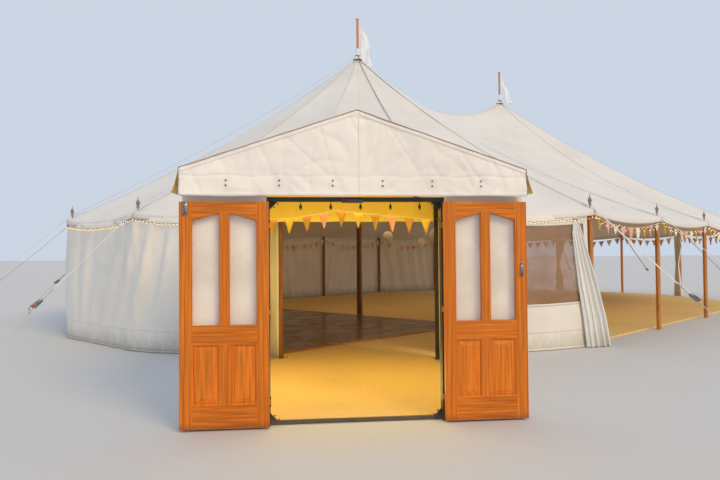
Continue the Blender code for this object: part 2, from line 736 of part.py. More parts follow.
def frame_knuckles():
    """The frame's half of each hinge: two knuckles, above and below the leaf's own."""
    meshes = []
    axis_y = PORCH_FRONT - HINGE_AHEAD
    for side in (-1, 1):
        axis_x = PORCH_X + side * DOOR_HALF
        for height in HINGE_HEIGHTS:
            for low in (height - KNUCKLE / 2 - TOUCH - KNUCKLE / 2, height + KNUCKLE / 2 + TOUCH):
                high = low + KNUCKLE / 2
                meshes.append(rod_mesh("frame_knuckle", (axis_x, axis_y, low), (axis_x, axis_y, high),
                                       KNUCKLE_RADIUS, 12))
                x0, x1 = sorted((axis_x + side * FLAP_ASIDE, axis_x + side * (FLAP_ASIDE + FLAP_THICK)))
                meshes.append(box_mesh("frame_flap", (x0, axis_y - FLAP_LAP, low + FLAP_SHORT),
                                       (x1, PORCH_FRONT + SHIFT, high - FLAP_SHORT)))
    return meshes


def make_floor(material, group, guides):
    """Floor inside the whole ring of side poles, and out through the porch to its threshold."""
    corners = [tuple(place(key, -FLOOR_INSET)) for key in RING]
    side = APOTHEM * math.tan(HALF_BAY) - TONGUE_INSET
    inner, outer = -(APOTHEM - FLOOR_INSET), -(APOTHEM + EAVE_REACH)
    half = PORCH_HALF - PORCH_SKIN - WALL - FRAME - FLOOR_SIDE_GAP
    front = PORCH_FRONT + LEAF_THICK + SHIFT + THRESHOLD[0] + TOUCH
    rear = porch_rear()
    porch = [(side, inner), (side, outer), porch_spot(PORCH_X + half, rear), porch_spot(PORCH_X + half, front),
             porch_spot(PORCH_X - half, front), porch_spot(PORCH_X - half, rear), (-side, outer), (-side, inner)]
    cut = DOOR_POLES[0] + 1
    outline = corners[:cut] + porch + corners[cut:]
    floor = add_object("floor", slab_mesh("floor", outline, 0.0, FLOOR), material, group)
    for end, along in enumerate((0.0, KING_SPACING)):
        spot = in_frame(along, 0.0)
        hole = rod_mesh(f"floor_hole_{end}", (spot.x, spot.y, -1.0), (spot.x, spot.y, 1.0),
                        (KING_FOOT_RADIUS + TOUCH) / math.cos(HALF_BAY), KING_SIDES)
        combine(floor, [add_object(hole.name, hole, None, guides)], "DIFFERENCE")


def make_dance_floor(material, group):
    """A square of dark boards laid on the floor, between the doorway and the front king pole."""
    start, end = -DANCE_LENGTH - DANCE_FROM_POLE, -DANCE_FROM_POLE
    half = DANCE_WIDTH / 2
    outline = [in_frame(start, -half), in_frame(end, -half), in_frame(end, half), in_frame(start, half)]
    low = FLOOR + TOUCH
    add_object("dance_floor", slab_mesh("dance_floor", outline, low, low + DANCE_THICK), material, group)


def make_porch_curtain(material, group):
    """A curtain drawn to the left, hanging from the header of the porch's back portal."""
    middle_y = porch_rear() - FRAME / 2
    post = PORCH_HALF - PORCH_SKIN - WALL - FRAME - 3 * TOUCH
    stations = ((REAR_HEADER_LOW - TOUCH, 0.40, 0.022), (1.60, 0.42, 0.04), (0.90, 0.43, 0.05),
                (FLOOR + TOUCH, 0.47, 0.055))
    sections = []
    for height, width, half_depth in stations:
        ring = []
        for i in range(12):
            angle = math.tau * i / 12
            x = -post + width / 2 * (1 + math.cos(angle))
            ring.append((PORCH_X + x, middle_y + half_depth * math.sin(angle), height))
        sections.append(ring)
    add_object("porch_curtain", turned_mesh(loft_mesh("porch_curtain", sections)), material, group)


# Doors

def leaf_cuts():
    """Outlines, in the leaf's own width and height, of its lights and of its panels."""
    lights, panels = [], []
    middle = LEAF_WIDTH / 2
    for edge, inner in ((STILE, middle - MUNTIN / 2), (LEAF_WIDTH - STILE, middle + MUNTIN / 2)):
        lights.append([(edge, LIGHT_LOW), (inner, LIGHT_LOW), (inner, LIGHT_HIGH),
                       (edge, LIGHT_HIGH - TOP_RAIL_DROP)])
        panels.append([(edge, BOTTOM_RAIL), (inner, BOTTOM_RAIL), (inner, LOCK_RAIL_LOW),
                       (edge, LOCK_RAIL_LOW)])
    return lights, panels


def glass_outline(grow):
    """One sheet of glass behind both lights, held in a groove round them."""
    edge = STILE - GLASS_GROOVE - grow
    low, high = LIGHT_LOW - GLASS_GROOVE - grow, LIGHT_HIGH + GLASS_GROOVE + grow
    middle = LEAF_WIDTH / 2
    return [(edge, low), (LEAF_WIDTH - edge, low), (LEAF_WIDTH - edge, high - TOP_RAIL_DROP),
            (middle + MUNTIN / 2, high), (middle - MUNTIN / 2, high), (edge, high - TOP_RAIL_DROP)]


def hang(name, mesh, side, material, group):
    """Put a piece of a leaf, made in its closed place, on its hinge and turn it open by 180 degrees.

    side is -1 for the leaf hung on the left jamb and +1 for the right.
    """
    if side > 0:
        mesh.transform(Matrix.Diagonal((-1.0, 1.0, 1.0, 1.0)))
        mesh.flip_normals()
    piece = add_object(name, mesh, material, group)
    spot = porch_spot(PORCH_X + side * DOOR_HALF, PORCH_FRONT - HINGE_AHEAD)
    piece.location = (spot.x, spot.y, LEAF_FOOT)
    piece.rotation_euler.z = math.pi + PORCH_TURN


def make_door(name, side, material, glass, group, guides):
    slab = box_mesh(name, (SHIFT, HINGE_AHEAD, 0.0), (SHIFT + LEAF_WIDTH, HINGE_AHEAD + LEAF_THICK, LEAF_HEIGHT))
    parts = [slab]
    for height in HINGE_HEIGHTS:
        low, high = height - LEAF_FOOT - KNUCKLE / 2, height - LEAF_FOOT + KNUCKLE / 2
        parts.append(rod_mesh("leaf_knuckle", (0.0, 0.0, low), (0.0, 0.0, high), KNUCKLE_RADIUS, 12))
        parts.append(box_mesh("leaf_flap", (FLAP_ASIDE, -FLAP_LAP, low + FLAP_SHORT),
                              (SHIFT + FLAP_THICK, HINGE_AHEAD + FLAP_LAP, high - FLAP_SHORT)))
    leaf = fused(name, parts, material, group, guides)
    back = HINGE_AHEAD + LEAF_THICK
    depth = (LEAF_THICK - PANEL_THICK) / 2
    middle = HINGE_AHEAD + LEAF_THICK / 2
    cuts = []

    def cut(kind, outline, low, high):
        outline = [(SHIFT + x, z) for x, z in outline]
        mesh = slab_mesh(f"{name}_{kind}_{len(cuts)}", outline, low, high, "XZ")
        cuts.append(add_object(mesh.name, mesh, None, guides))

    lights, panels = leaf_cuts()
    for outline in lights:
        cut("light", outline, HINGE_AHEAD - depth, back + depth)
    for outline in panels:
        cut("panel_front", outline, HINGE_AHEAD - depth, HINGE_AHEAD + depth)
        cut("panel_back", outline, back - depth, back + depth)
    cut("groove", glass_outline(TOUCH), middle - GLASS / 2 - TOUCH, middle + GLASS / 2 + TOUCH)
    combine(leaf, cuts, "DIFFERENCE")
    weld(leaf)
    mesh = finished_mesh(leaf, name)
    bpy.data.objects.remove(leaf, do_unlink=True)
    hang(name, mesh, side, material, group)
    outline = [(SHIFT + x, z) for x, z in glass_outline(0.0)]
    pane = slab_mesh(f"{name}_glass", outline, middle - GLASS / 2, middle + GLASS / 2, "XZ")
    hang(f"{name}_glass", pane, side, glass, group)


def build():
    clear_scene()
    group = new_collection(COLLECTION)
    guides = new_collection("guides")
    canvas = make_material("roof_canvas", (0.64, 0.65, 0.66), 0.62)
    fabric = make_material("wall_fabric", (0.66, 0.64, 0.58), 0.75)
    skin = make_material("porch_skin", (0.80, 0.76, 0.70), 0.45)
    clear = make_material("clear_sheet", (0.85, 0.88, 0.90), 0.10)
    glass = make_material("door_glass", (0.90, 0.92, 0.92), 0.05)
    pole_wood = make_material("pole_wood", (0.45, 0.20, 0.06), 0.45)
    door_wood = make_material("door_wood", (0.58, 0.22, 0.07), 0.35)
    webbing = make_material("guy_webbing", (0.72, 0.70, 0.64), 0.80)
    dark_metal = make_material("dark_metal", (0.05, 0.05, 0.06), 0.45, 0.6)
    matting = make_material("matting", (0.72, 0.60, 0.38), 0.75)
    dark_boards = make_material("dark_boards", (0.12, 0.06, 0.02), 0.20)

    make_roof_end(0, "roof_end_front", canvas, group, guides)
    make_roof_middle(canvas, group, guides)
    make_roof_end(1, "roof_end_back", canvas, group, guides)
    make_king_poles(pole_wood, group)
    make_side_poles(pole_wood, group)
    make_guys(webbing, group, guides)
    make_walls(fabric, group)
    make_window_bay(fabric, clear, group, guides)
    make_wall_gather(fabric, group)
    make_porch_cover(skin, group, guides)
    make_porch_walls(fabric, group)
    make_porch_frame(dark_metal, group, guides)
    make_floor(matting, group, guides)
    make_dance_floor(dark_boards, group)
    make_porch_curtain(fabric, group)
    make_door("door_left", -1, door_wood, glass, group, guides)
    make_door("door_right", 1, door_wood, glass, group, guides)


build()
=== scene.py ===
"""Looks of a round-ended pole marquee with a gabled porch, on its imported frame."""

import math

import bpy
from bpy.props import FloatProperty, FloatVectorProperty, PointerProperty
from mathutils import Matrix, Vector, noise


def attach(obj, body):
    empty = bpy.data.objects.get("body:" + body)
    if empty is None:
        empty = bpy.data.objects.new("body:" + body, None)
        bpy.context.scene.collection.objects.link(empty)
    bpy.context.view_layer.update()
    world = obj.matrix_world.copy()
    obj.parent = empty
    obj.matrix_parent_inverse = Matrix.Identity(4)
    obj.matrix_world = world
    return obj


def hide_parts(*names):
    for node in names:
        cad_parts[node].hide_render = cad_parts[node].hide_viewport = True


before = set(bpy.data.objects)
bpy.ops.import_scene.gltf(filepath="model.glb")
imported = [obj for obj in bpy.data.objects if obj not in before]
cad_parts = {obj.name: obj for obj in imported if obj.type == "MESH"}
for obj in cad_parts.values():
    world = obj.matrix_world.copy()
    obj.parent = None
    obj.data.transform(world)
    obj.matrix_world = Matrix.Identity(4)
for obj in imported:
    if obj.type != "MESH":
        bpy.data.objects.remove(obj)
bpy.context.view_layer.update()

bl_info = {
    "name": "Pole marquee dressing",
    "version": (1, 0, 0),
    "blender": (4, 5, 0),
    "location": "View3D > Sidebar > Marquee",
    "description": "Canvas, ropes, walls, porch, doors and trimmings of a pole marquee",
    "category": "Object",
}

# Plan of the tent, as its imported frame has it
TENT_TURN = math.radians(45.0)
KING_SPACING = 6.58
POLE_CIRCLE = 6.57
END_BAYS = 8
SIDE_BAYS = 3
HALF_BAY = math.pi / END_BAYS / 2
APOTHEM = POLE_CIRCLE * math.cos(HALF_BAY)
EAVE_REACH = 0.09
EAVE_TOP = 2.20
PEAK_HEIGHT = 6.38
HIP_SAG = 0.27
RIDGE_SAG = 0.80
WALL_LINE = 0.072       # middle of the walls, outside the line of side poles
WALL_FOOT = 0.004
WALL_TOP = 2.16
SPIKE_TOP = 2.288
PEAK_HOLE = 0.062       # opening in the canvas round a king pole
SLEEVE_FOOT = 6.345     # white sleeve round the king pole's head
GUY_FOOT = (2.524, 0.0, 0.128)  # from the pole to where the guy meets its stake

# Porch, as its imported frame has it
PORCH_X = -0.220
PORCH_FRONT = -10.07
PORCH_TURN = math.radians(5.0)
PORCH_HALF = 1.54
PORCH_EAVE = 2.25
PORCH_RIDGE = 2.77
FASCIA_LOW = 2.012
FASCIA_Y = PORCH_FRONT - 0.100  # front of the gable's cloth, which hangs before the frame
VALANCE_LOW = 2.04
DOOR_HALF = 0.7715
PORCH_SKIN = 0.012
FRAME = 0.050
HEADER_LOW = 1.972

# Door leaf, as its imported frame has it
LEAF_WIDTH = 0.762
LEAF_FOOT = 0.014
LEAF_GAP = 0.005        # from the hinge axis to the leaf
LEAF_FACE = -0.084      # from the frame's front plane to the open leaf's outer face
LEAF_BACK = -0.040
STILE = 0.104
MUNTIN = 0.082
LOCK_RAIL_LOW = 0.720
LIGHT_LOW = 0.880
LIGHT_HIGH = 1.854
LIGHT_DROP = 0.065
BOTTOM_RAIL = 0.200

# Camera, by the 720 x 480 picture that it frames
PICTURE_WIDTH = 720.0
FOCAL = 641.2           # focal length in pixels
HORIZON = 15.73         # how many pixels the horizon lies below the picture's middle
CAMERA_PLACE = (-0.311, -15.80, 1.487)

# Shades of dirt and wear
MUD = (0.30, 0.27, 0.19)
RUST = (0.16, 0.07, 0.03)
STRAP_DIRT = (0.36, 0.31, 0.22)
DAMP_WOOD = (0.10, 0.045, 0.02)
SCUFFED = (0.35, 0.26, 0.15)
BOARD_JOINT = (0.01, 0.006, 0.004)


# Sizes and colours that a user may change

def size(name, description, default, low=0.0, unit="LENGTH"):
    return FloatProperty(name=name, description=description, default=default, min=low, unit=unit)


def colour(name, description, default):
    return FloatVectorProperty(name=name, description=description, default=default, size=3,
                               min=0.0, max=1.0, subtype="COLOR")


class MarqueeSizes(bpy.types.PropertyGroup):
    eave_scallop: size("Eave scallop", "How far the eave curves in between two poles", 0.035)
    eave_droop: size("Eave droop", "How far the eave dips between two poles", 0.085)
    fold_depth: size("Wall fold depth", "How far the folds of the walls stand out", 0.066)
    fold_pitch: size("Wall fold pitch", "Usual distance between two folds of a wall", 0.46, 0.05)
    rope_radius: size("Rope radius", "Radius of the ropes over the roof", 0.0045, 0.001)
    pennant_fold: size("Pennant fold", "How deep the limp pennants fold", 0.013)
    flag_width: size("Flag width", "Width of a bunting flag at its string", 0.22, 0.02)
    flag_length: size("Flag length", "Length of a bunting flag", 0.23, 0.02)
    flag_sag: size("Bunting sag", "How far the bunting hangs down in a bay", 0.15)
    fairy_pitch: size("Fairy light pitch", "Distance between two fairy lights", 0.072, 0.02)
    lantern_radius: size("Lantern radius", "Radius of the larger paper lanterns", 0.17, 0.02)
    board_width: size("Board width", "Width of a board of the dance floor", 0.12, 0.02)


class MarqueeColours(bpy.types.PropertyGroup):
    canvas: colour("Roof canvas", "Coated canvas of the roof", (0.78, 0.755, 0.715))
    wall: colour("Walls", "Cloth of the walls", (0.86, 0.825, 0.755))
    porch: colour("Porch skin", "Coated cloth of the porch", (0.96, 0.915, 0.86))
    # The lining's strong yellow is partly the porch lamps' warm light, painted into the cloth
    lining: colour("Porch lining", "Cloth inside the porch roof", (0.94, 0.76, 0.17))
    piping: colour("Piping", "Cord sewn along the porch gable", (0.42, 0.27, 0.19))
    door: colour("Door wood", "Stained timber of the doors", (0.80, 0.215, 0.012))
    pole: colour("Pole wood", "Varnished timber of the poles", (0.62, 0.225, 0.035))
    finial: colour("Finial", "Weathered timber of the finials", (0.23, 0.19, 0.16))
    webbing: colour("Webbing", "Woven strap of the guys", (0.84, 0.81, 0.76))
    ratchet: colour("Ratchet", "Painted handle of a ratchet", (0.42, 0.06, 0.05))
    rope: colour("Rope", "Laid rope", (0.74, 0.71, 0.66))
    metal: colour("Porch frame", "Painted metal of the porch frame", (0.022, 0.021, 0.022))
    steel: colour("Steel", "Galvanised fittings", (0.38, 0.38, 0.38))
    matting: colour("Matting", "Laid floor matting", (0.88, 0.63, 0.25))
    boards: colour("Dance floor", "Lacquered boards", (0.125, 0.058, 0.017))
    gold: colour("Gold flag", "Bunting", (0.62, 0.33, 0.035))
    yellow: colour("Yellow flag", "Bunting", (0.90, 0.64, 0.05))
    peach: colour("Peach flag", "Bunting", (0.92, 0.44, 0.26))
    pink: colour("Pink flag", "Bunting", (0.88, 0.46, 0.52))
    white: colour("White cloth", "White flags, pennants and sleeves", (0.90, 0.88, 0.84))
    pennant: colour("Pennant", "Thin white cloth of the pennants", (0.90, 0.93, 0.97))
    curtain: colour("Porch curtain", "Curtain in the porch", (0.99, 0.86, 0.52))
    glow: colour("Bulb glow", "Light of the small bulbs", (1.0, 0.62, 0.14))


def sizes():
    return bpy.context.scene.marquee_sizes


def tint(name):
    return tuple(getattr(bpy.context.scene.marquee_colours, name))


def toned(shade, share):
    """A shade made darker, or lighter with a share over 1."""
    return tuple(c * share for c in shade)


# Shader maths

class Socket:
    """An output socket of a material's nodes. Arithmetic on it adds the nodes that work it out."""

    def __init__(self, tree, link):
        self.tree = tree
        self.link = link

    def add(self, kind, settings, values):
        return add_node(self.tree, kind, settings, values)

    def worked(self, operation, first, second):
        """An operation on two numbers by a Math node, or on vectors by a Vector Math node."""
        if is_number(first) and is_number(second):
            return self.add("ShaderNodeMath", {"operation": operation}, {0: first, 1: second})["Value"]
        first, second = [(x, x, x) if isinstance(x, (int, float)) else x for x in (first, second)]
        return self.add("ShaderNodeVectorMath", {"operation": operation}, {0: first, 1: second})["Vector"]

    def __add__(self, other):
        return self.worked("ADD", self, other)

    __radd__ = __add__

    def __sub__(self, other):
        return self.worked("SUBTRACT", self, other)

    def __rsub__(self, other):
        return self.worked("SUBTRACT", other, self)

    def __mul__(self, other):
        return self.worked("MULTIPLY", self, other)

    __rmul__ = __mul__

    def __truediv__(self, other):
        return self.worked("DIVIDE", self, other)

    def __rtruediv__(self, other):
        return self.worked("DIVIDE", other, self)

    def __gt__(self, other):
        return self.worked("GREATER_THAN", self, other)

    def __lt__(self, other):
        return self.worked("LESS_THAN", self, other)

    def __mod__(self, other):
        return self.worked("FLOORED_MODULO", self, other)

    def __rmod__(self, other):
        return self.worked("FLOORED_MODULO", other, self)

    def __abs__(self):
        return self.worked("ABSOLUTE", self, 0.0)

    def floor(self):
        return self.worked("FLOOR", self, 0.0)

    def ramp(self, low, high, start=0.0, end=1.0):
        """From start to end as this goes from low to high, and level outside that."""
        settings = {"interpolation_type": "SMOOTHSTEP", "clamp": True}
        values = {"Value": self, "From Min": low, "From Max": high, "To Min": start, "To Max": end}
        return self.add("ShaderNodeMapRange", settings, values)["Result"]

    def part(self, axis):
        return self.add("ShaderNodeSeparateXYZ", {}, {"Vector": self})[axis]

    def mix(self, other, share):
        """This colour or vector, turned into the other by a share from 0 to 1."""
        return mix_of(self.tree, self, other, share)


def is_number(value):
    if isinstance(value, Socket):
        return value.link.type in {"VALUE", "INT", "BOOLEAN"}
    return isinstance(value, (int, float))


def plug(tree, socket, value):
    if isinstance(value, Socket):
        tree.links.new(value.link, socket)
    elif socket.type == "RGBA" and len(value) == 3:
        socket.default_value = (*value, 1.0)
    else:
        socket.default_value = value


def add_node(tree, kind, settings, values):
    """A node with its settings made first, then its sockets. Returns its outputs by name."""
    node = tree.nodes.new(kind)
    for name, value in settings.items():
        setattr(node, name, value)
    for name, value in values.items():
        plug(tree, node.inputs[name], value)
    return {output.name: Socket(tree, output) for output in node.outputs if output.enabled}


def mix_of(tree, first, second, share, kind="RGBA"):
    """The first colour or vector, turned into the second by a share from 0 to 1."""
    a, b = {"RGBA": (6, 7), "VECTOR": (4, 5)}[kind]
    settings = {"data_type": kind, "clamp_factor": True}
    return add_node(tree, "ShaderNodeMix", settings, {0: share, a: first, b: second})["Result"]


class Finish:
    """A material while it is being made."""

    def __init__(self, name, roughness=0.6, **constants):
        self.material = bpy.data.materials.new(name)
        self.material.use_nodes = True
        self.tree = self.material.node_tree
        self.shader = self.tree.nodes["Principled BSDF"]
        self.shader.inputs["Roughness"].default_value = roughness
        for socket, value in constants.items():
            self.shader.inputs[socket.replace("_", " ")].default_value = value

    def node(self, kind, settings=None, values=None):
        return add_node(self.tree, kind, settings or {}, values or {})

    def place(self):
        return self.node("ShaderNodeTexCoord")["Object"]

    def noise(self, where, scale, detail=3.0, roughness=0.5):
        values = {"Vector": where, "Scale": scale, "Detail": detail, "Roughness": roughness}
        return self.node("ShaderNodeTexNoise", {}, values)["Fac"]

    def wave(self, where, scale, axis="X", distortion=0.0):
        values = {"Vector": where, "Scale": scale, "Distortion": distortion, "Detail": 2.0}
        return self.node("ShaderNodeTexWave", {"bands_direction": axis}, values)["Fac"]

    def cells(self, where, scale):
        return self.node("ShaderNodeTexVoronoi", {}, {"Vector": where, "Scale": scale})["Distance"]

    def turned(self, where, angle, centre=(0.0, 0.0, 0.0)):
        """A place turned round an upright axis."""
        values = {"Vector": where, "Center": centre, "Angle": angle}
        return self.node("ShaderNodeVectorRotate", {"rotation_type": "Z_AXIS"}, values)["Vector"]

    def tone(self, base, other, share):
        return mix_of(self.tree, base, other, share)

    def give(self, socket, value):
        plug(self.tree, self.shader.inputs[socket], value)

    def bump(self, height, distance):
        """Gives the surface its relief and returns the finished material."""
        relief = self.node("ShaderNodeBump", {}, {"Distance": distance, "Height": height})
        self.give("Normal", relief["Normal"])
        return self.material


def cloth_finish(name, shade, roughness=0.7, soiled=0.0, crease=0.006, sheen=0.15):
    """Coated cloth with its weave, creases, faint clouds and, where soiled, mud splashed up its foot."""
    cloth = Finish(name, Sheen_Weight=sheen, Sheen_Roughness=0.6, Specular_IOR_Level=0.35)
    where = cloth.place()
    clouds = cloth.noise(where, 0.9, 4.0)
    streaks = cloth.noise(where * (5.0, 5.0, 0.5), 1.0, 5.0, 0.6)
    base = cloth.tone(shade, toned(shade, 0.86), clouds.ramp(0.35, 0.75) * 0.6)
    base = base.mix(toned(shade, 0.80), streaks.ramp(0.52, 0.78) * 0.35)
    if soiled:
        height = where.part("Z")
        splash = cloth.noise(where * (9.0, 9.0, 3.0), 1.0, 6.0, 0.65)
        mud = (height + splash * 0.35).ramp(0.16, 0.52, 1.0, 0.0)
        base = base.mix(MUD, mud * soiled)
    cloth.give("Base Color", base)
    cloth.give("Roughness", clouds.ramp(0.3, 0.7, roughness - 0.08, roughness + 0.08))
    folds = cloth.noise(where * (3.0, 3.0, 1.4), 1.3, 6.0, 0.55)
    weave = cloth.wave(where, 260.0, "Z") + cloth.wave(where, 260.0, "DIAGONAL")
    return cloth.bump(folds + weave * 0.012, crease)


def plain_cloth_finish(name, shade):
    """Plain woven cotton."""
    cloth = Finish(name, 0.8, Sheen_Weight=0.2)
    where = cloth.place()
    base = cloth.tone(shade, toned(shade, 0.78), cloth.noise(where, 14.0, 4.0).ramp(0.4, 0.8) * 0.7)
    cloth.give("Base Color", base)
    weave = cloth.wave(where, 420.0, "Z") + cloth.wave(where, 420.0, "X")
    return cloth.bump(weave, 0.0006)


def pole_finish(name, shade, top_shade, top=2.6):
    """Turned and varnished wood with its grain up the pole, of another shade from the eave to a height."""
    wood = Finish(name, Coat_Roughness=0.25)
    where = wood.place()
    grain = wood.noise(where * (42.0, 42.0, 1.6), 1.0, 8.0, 0.6)
    rings = wood.wave(where * (1.0, 1.0, 0.06), 26.0, "X", 5.0)
    base = wood.tone(toned(shade, 1.15), toned(shade, 0.55), grain.ramp(0.38, 0.68) * 0.75)
    base = base.mix(toned(shade, 0.62), rings.ramp(0.5, 0.95) * 0.4)
    knots = wood.cells(where * (6.0, 6.0, 1.3), 1.0)
    base = base.mix(toned(shade, 0.28), knots.ramp(0.05, 0.16, 1.0, 0.0) * 0.8)
    above_eave = where.part("Z").ramp(EAVE_TOP, EAVE_TOP + 0.09)
    below_top = where.part("Z").ramp(top - 0.05, top, 1.0, 0.0)
    base = base.mix(top_shade, above_eave * below_top)
    wood.give("Base Color", base)
    wood.give("Coat Weight", grain.ramp(0.4, 0.7, 0.45, 0.15))
    wood.give("Roughness", grain.ramp(0.3, 0.7, 0.36, 0.55))
    return wood.bump(grain * 0.6 + rings * 0.2, 0.0016)


def leaf_finish(name, shade, side):
    """Stained softwood whose grain runs up the stiles and along the rails."""
    wood = Finish(name, Coat_Roughness=0.30, Specular_IOR_Level=0.25)
    where = wood.turned(wood.place(), -PORCH_TURN, (PORCH_X, PORCH_FRONT, 0.0))
    off = where.part("X") - (PORCH_X + side * (DOOR_HALF + LEAF_GAP + LEAF_WIDTH / 2))
    across = abs(off)
    height = where.part("Z") - LEAF_FOOT
    stiles = across > LEAF_WIDTH / 2 - STILE
    in_light = (height > LIGHT_LOW) * (height < LIGHT_HIGH)
    in_panel = (height > BOTTOM_RAIL) * (height < LOCK_RAIL_LOW)
    muntin = (across < MUNTIN / 2) * (in_light + in_panel)
    lock_rail = (height > LOCK_RAIL_LOW) * (height < LIGHT_LOW)
    rails = (height < BOTTOM_RAIL) + lock_rail + (height > LIGHT_HIGH - LIGHT_DROP)
    lying = ((1.0 - stiles) * (1.0 - muntin) * rails).ramp(0.0, 1.0)
    upright = where * (66.0, 66.0, 1.5)
    level = where * (1.8, 66.0, 60.0)
    along = mix_of(wood.tree, upright, level, lying, "VECTOR")
    along = along + (stiles * (off > 0.0) * 7.3 + muntin * 3.1 + lying * 11.0)
    grain = wood.noise(along, 1.0, 8.0, 0.62)
    figure = wood.wave(along * (0.038, 0.038, 0.12), 3.4, "X", 6.0)
    ends = wood.noise(where * (4.0, 4.0, 0.8), 1.0, 3.0)
    base = wood.tone(toned(shade, 1.04), toned(shade, 0.60), grain.ramp(0.34, 0.70))
    base = base.mix(toned(shade, 0.34), figure.ramp(0.62, 1.0) * 0.42)
    base = base.mix(toned(shade, 0.72), ends.ramp(0.45, 0.75) * 0.5)
    base = base.mix(DAMP_WOOD, height.ramp(0.0, 0.07, 0.45, 0.0))
    wood.give("Base Color", base)
    wood.give("Coat Weight", grain.ramp(0.4, 0.7, 0.16, 0.06))
    wood.give("Roughness", grain.ramp(0.3, 0.7, 0.42, 0.60))
    return wood.bump(grain + figure * 0.3, 0.0012)


def joinery_finish(name, shade):
    """Stained timber of the small mouldings and strips."""
    wood = Finish(name, 0.45, Coat_Roughness=0.30, Specular_IOR_Level=0.25)
    where = wood.place()
    grain = wood.noise(where * (56.0, 56.0, 2.2), 1.0, 8.0, 0.6)
    wood.give("Base Color", wood.tone(toned(shade, 1.06), toned(shade, 0.64), grain.ramp(0.35, 0.7)))
    wood.give("Coat Weight", grain.ramp(0.4, 0.7, 0.16, 0.06))
    return wood.bump(grain, 0.0010)


def painted_finish(name, shade, roughness, worn=(0.30, 0.27, 0.22)):
    """Painted metal with chips and with dust low down."""
    paint = Finish(name)
    where = paint.place()
    chips = paint.noise(where, 24.0, 6.0, 0.7)
    dust = where.part("Z").ramp(0.0, 0.12, 0.8, 0.0)
    base = paint.tone(shade, toned(shade, 1.8), paint.noise(where, 5.0).ramp(0.4, 0.7) * 0.5)
    base = base.mix(worn, chips.ramp(0.66, 0.74) * 0.5)
    base = base.mix(worn, dust * chips.ramp(0.2, 0.5))
    paint.give("Base Color", base)
    paint.give("Roughness", chips.ramp(0.3, 0.7, roughness - 0.1, roughness + 0.15))
    paint.give("Metallic", chips.ramp(0.66, 0.74, 0.0, 0.3))
    return paint.bump(chips, 0.0008)


def steel_finish(name, shade):
    """Galvanised steel with its spangle and specks of rust."""
    steel = Finish(name, Metallic=0.85)
    where = steel.place()
    spangle = steel.cells(where, 60.0)
    rust = steel.noise(where, 30.0, 6.0, 0.7).ramp(0.6, 0.72)
    base = steel.tone(shade, toned(shade, 0.6), spangle.ramp(0.1, 0.7))
    steel.give("Base Color", base.mix(RUST, rust * 0.6))
    steel.give("Roughness", spangle.ramp(0.0, 0.8, 0.32, 0.55))
    return steel.bump(spangle, 0.0005)


def rope_finish(name, shade, low_shade=None):
    """Three-strand rope, seen as slanting turns, of another shade low down on the roof."""
    rope = Finish(name, 0.85)
    where = rope.place()
    lay = rope.wave(where, 38.0, "DIAGONAL")
    base = rope.tone(toned(shade, 0.72), shade, lay.ramp(0.1, 0.6))
    if low_shade:
        base = base.mix(low_shade, where.part("Z").ramp(3.6, 4.7, 1.0, 0.0))
    rope.give("Base Color", base)
    return rope.bump(lay, 0.0030)


def webbing_finish(name, shade):
    """Woven strap with a darker line along each edge."""
    strap = Finish(name, 0.75, Sheen_Weight=0.15)
    where = strap.place()
    ribs = strap.wave(where, 110.0, "Z")
    wear = strap.noise(where, 6.0, 6.0, 0.6)
    base = strap.tone(shade, toned(shade, 0.78), ribs.ramp(0.1, 0.5) * 0.5)
    edge = abs(where.part("Y")).ramp(0.0195, 0.0215)
    base = base.mix(toned(shade, 0.60), edge * 0.6)
    strap.give("Base Color", base.mix(STRAP_DIRT, wear.ramp(0.55, 0.8) * 0.4))
    return strap.bump(ribs, 0.0008)


def matting_finish(name, shade):
    """Ribbed matting, trodden darker along the way in."""
    mat = Finish(name)
    where = mat.place()
    ribs = mat.wave(where, 42.0, "X")
    fibres = mat.noise(where * (60.0, 14.0, 30.0), 1.0, 8.0, 0.7)
    trodden = mat.noise(where, 0.7, 5.0, 0.6)
    lane = abs(where.part("X") - PORCH_X).ramp(0.3, 1.0, 0.55, 0.0)
    base = mat.tone(toned(shade, 1.03), toned(shade, 0.87), fibres.ramp(0.3, 0.7))
    base = base.mix(toned(shade, 0.76), ribs.ramp(0.0, 0.4, 0.3, 0.0))
    base = base.mix(toned(shade, 0.74), trodden.ramp(0.45, 0.75) * lane)
    mat.give("Base Color", base)
    mat.give("Roughness", trodden.ramp(0.3, 0.7, 0.95, 0.75))
    return mat.bump(ribs * 0.6 + fibres * 0.4, 0.0018)


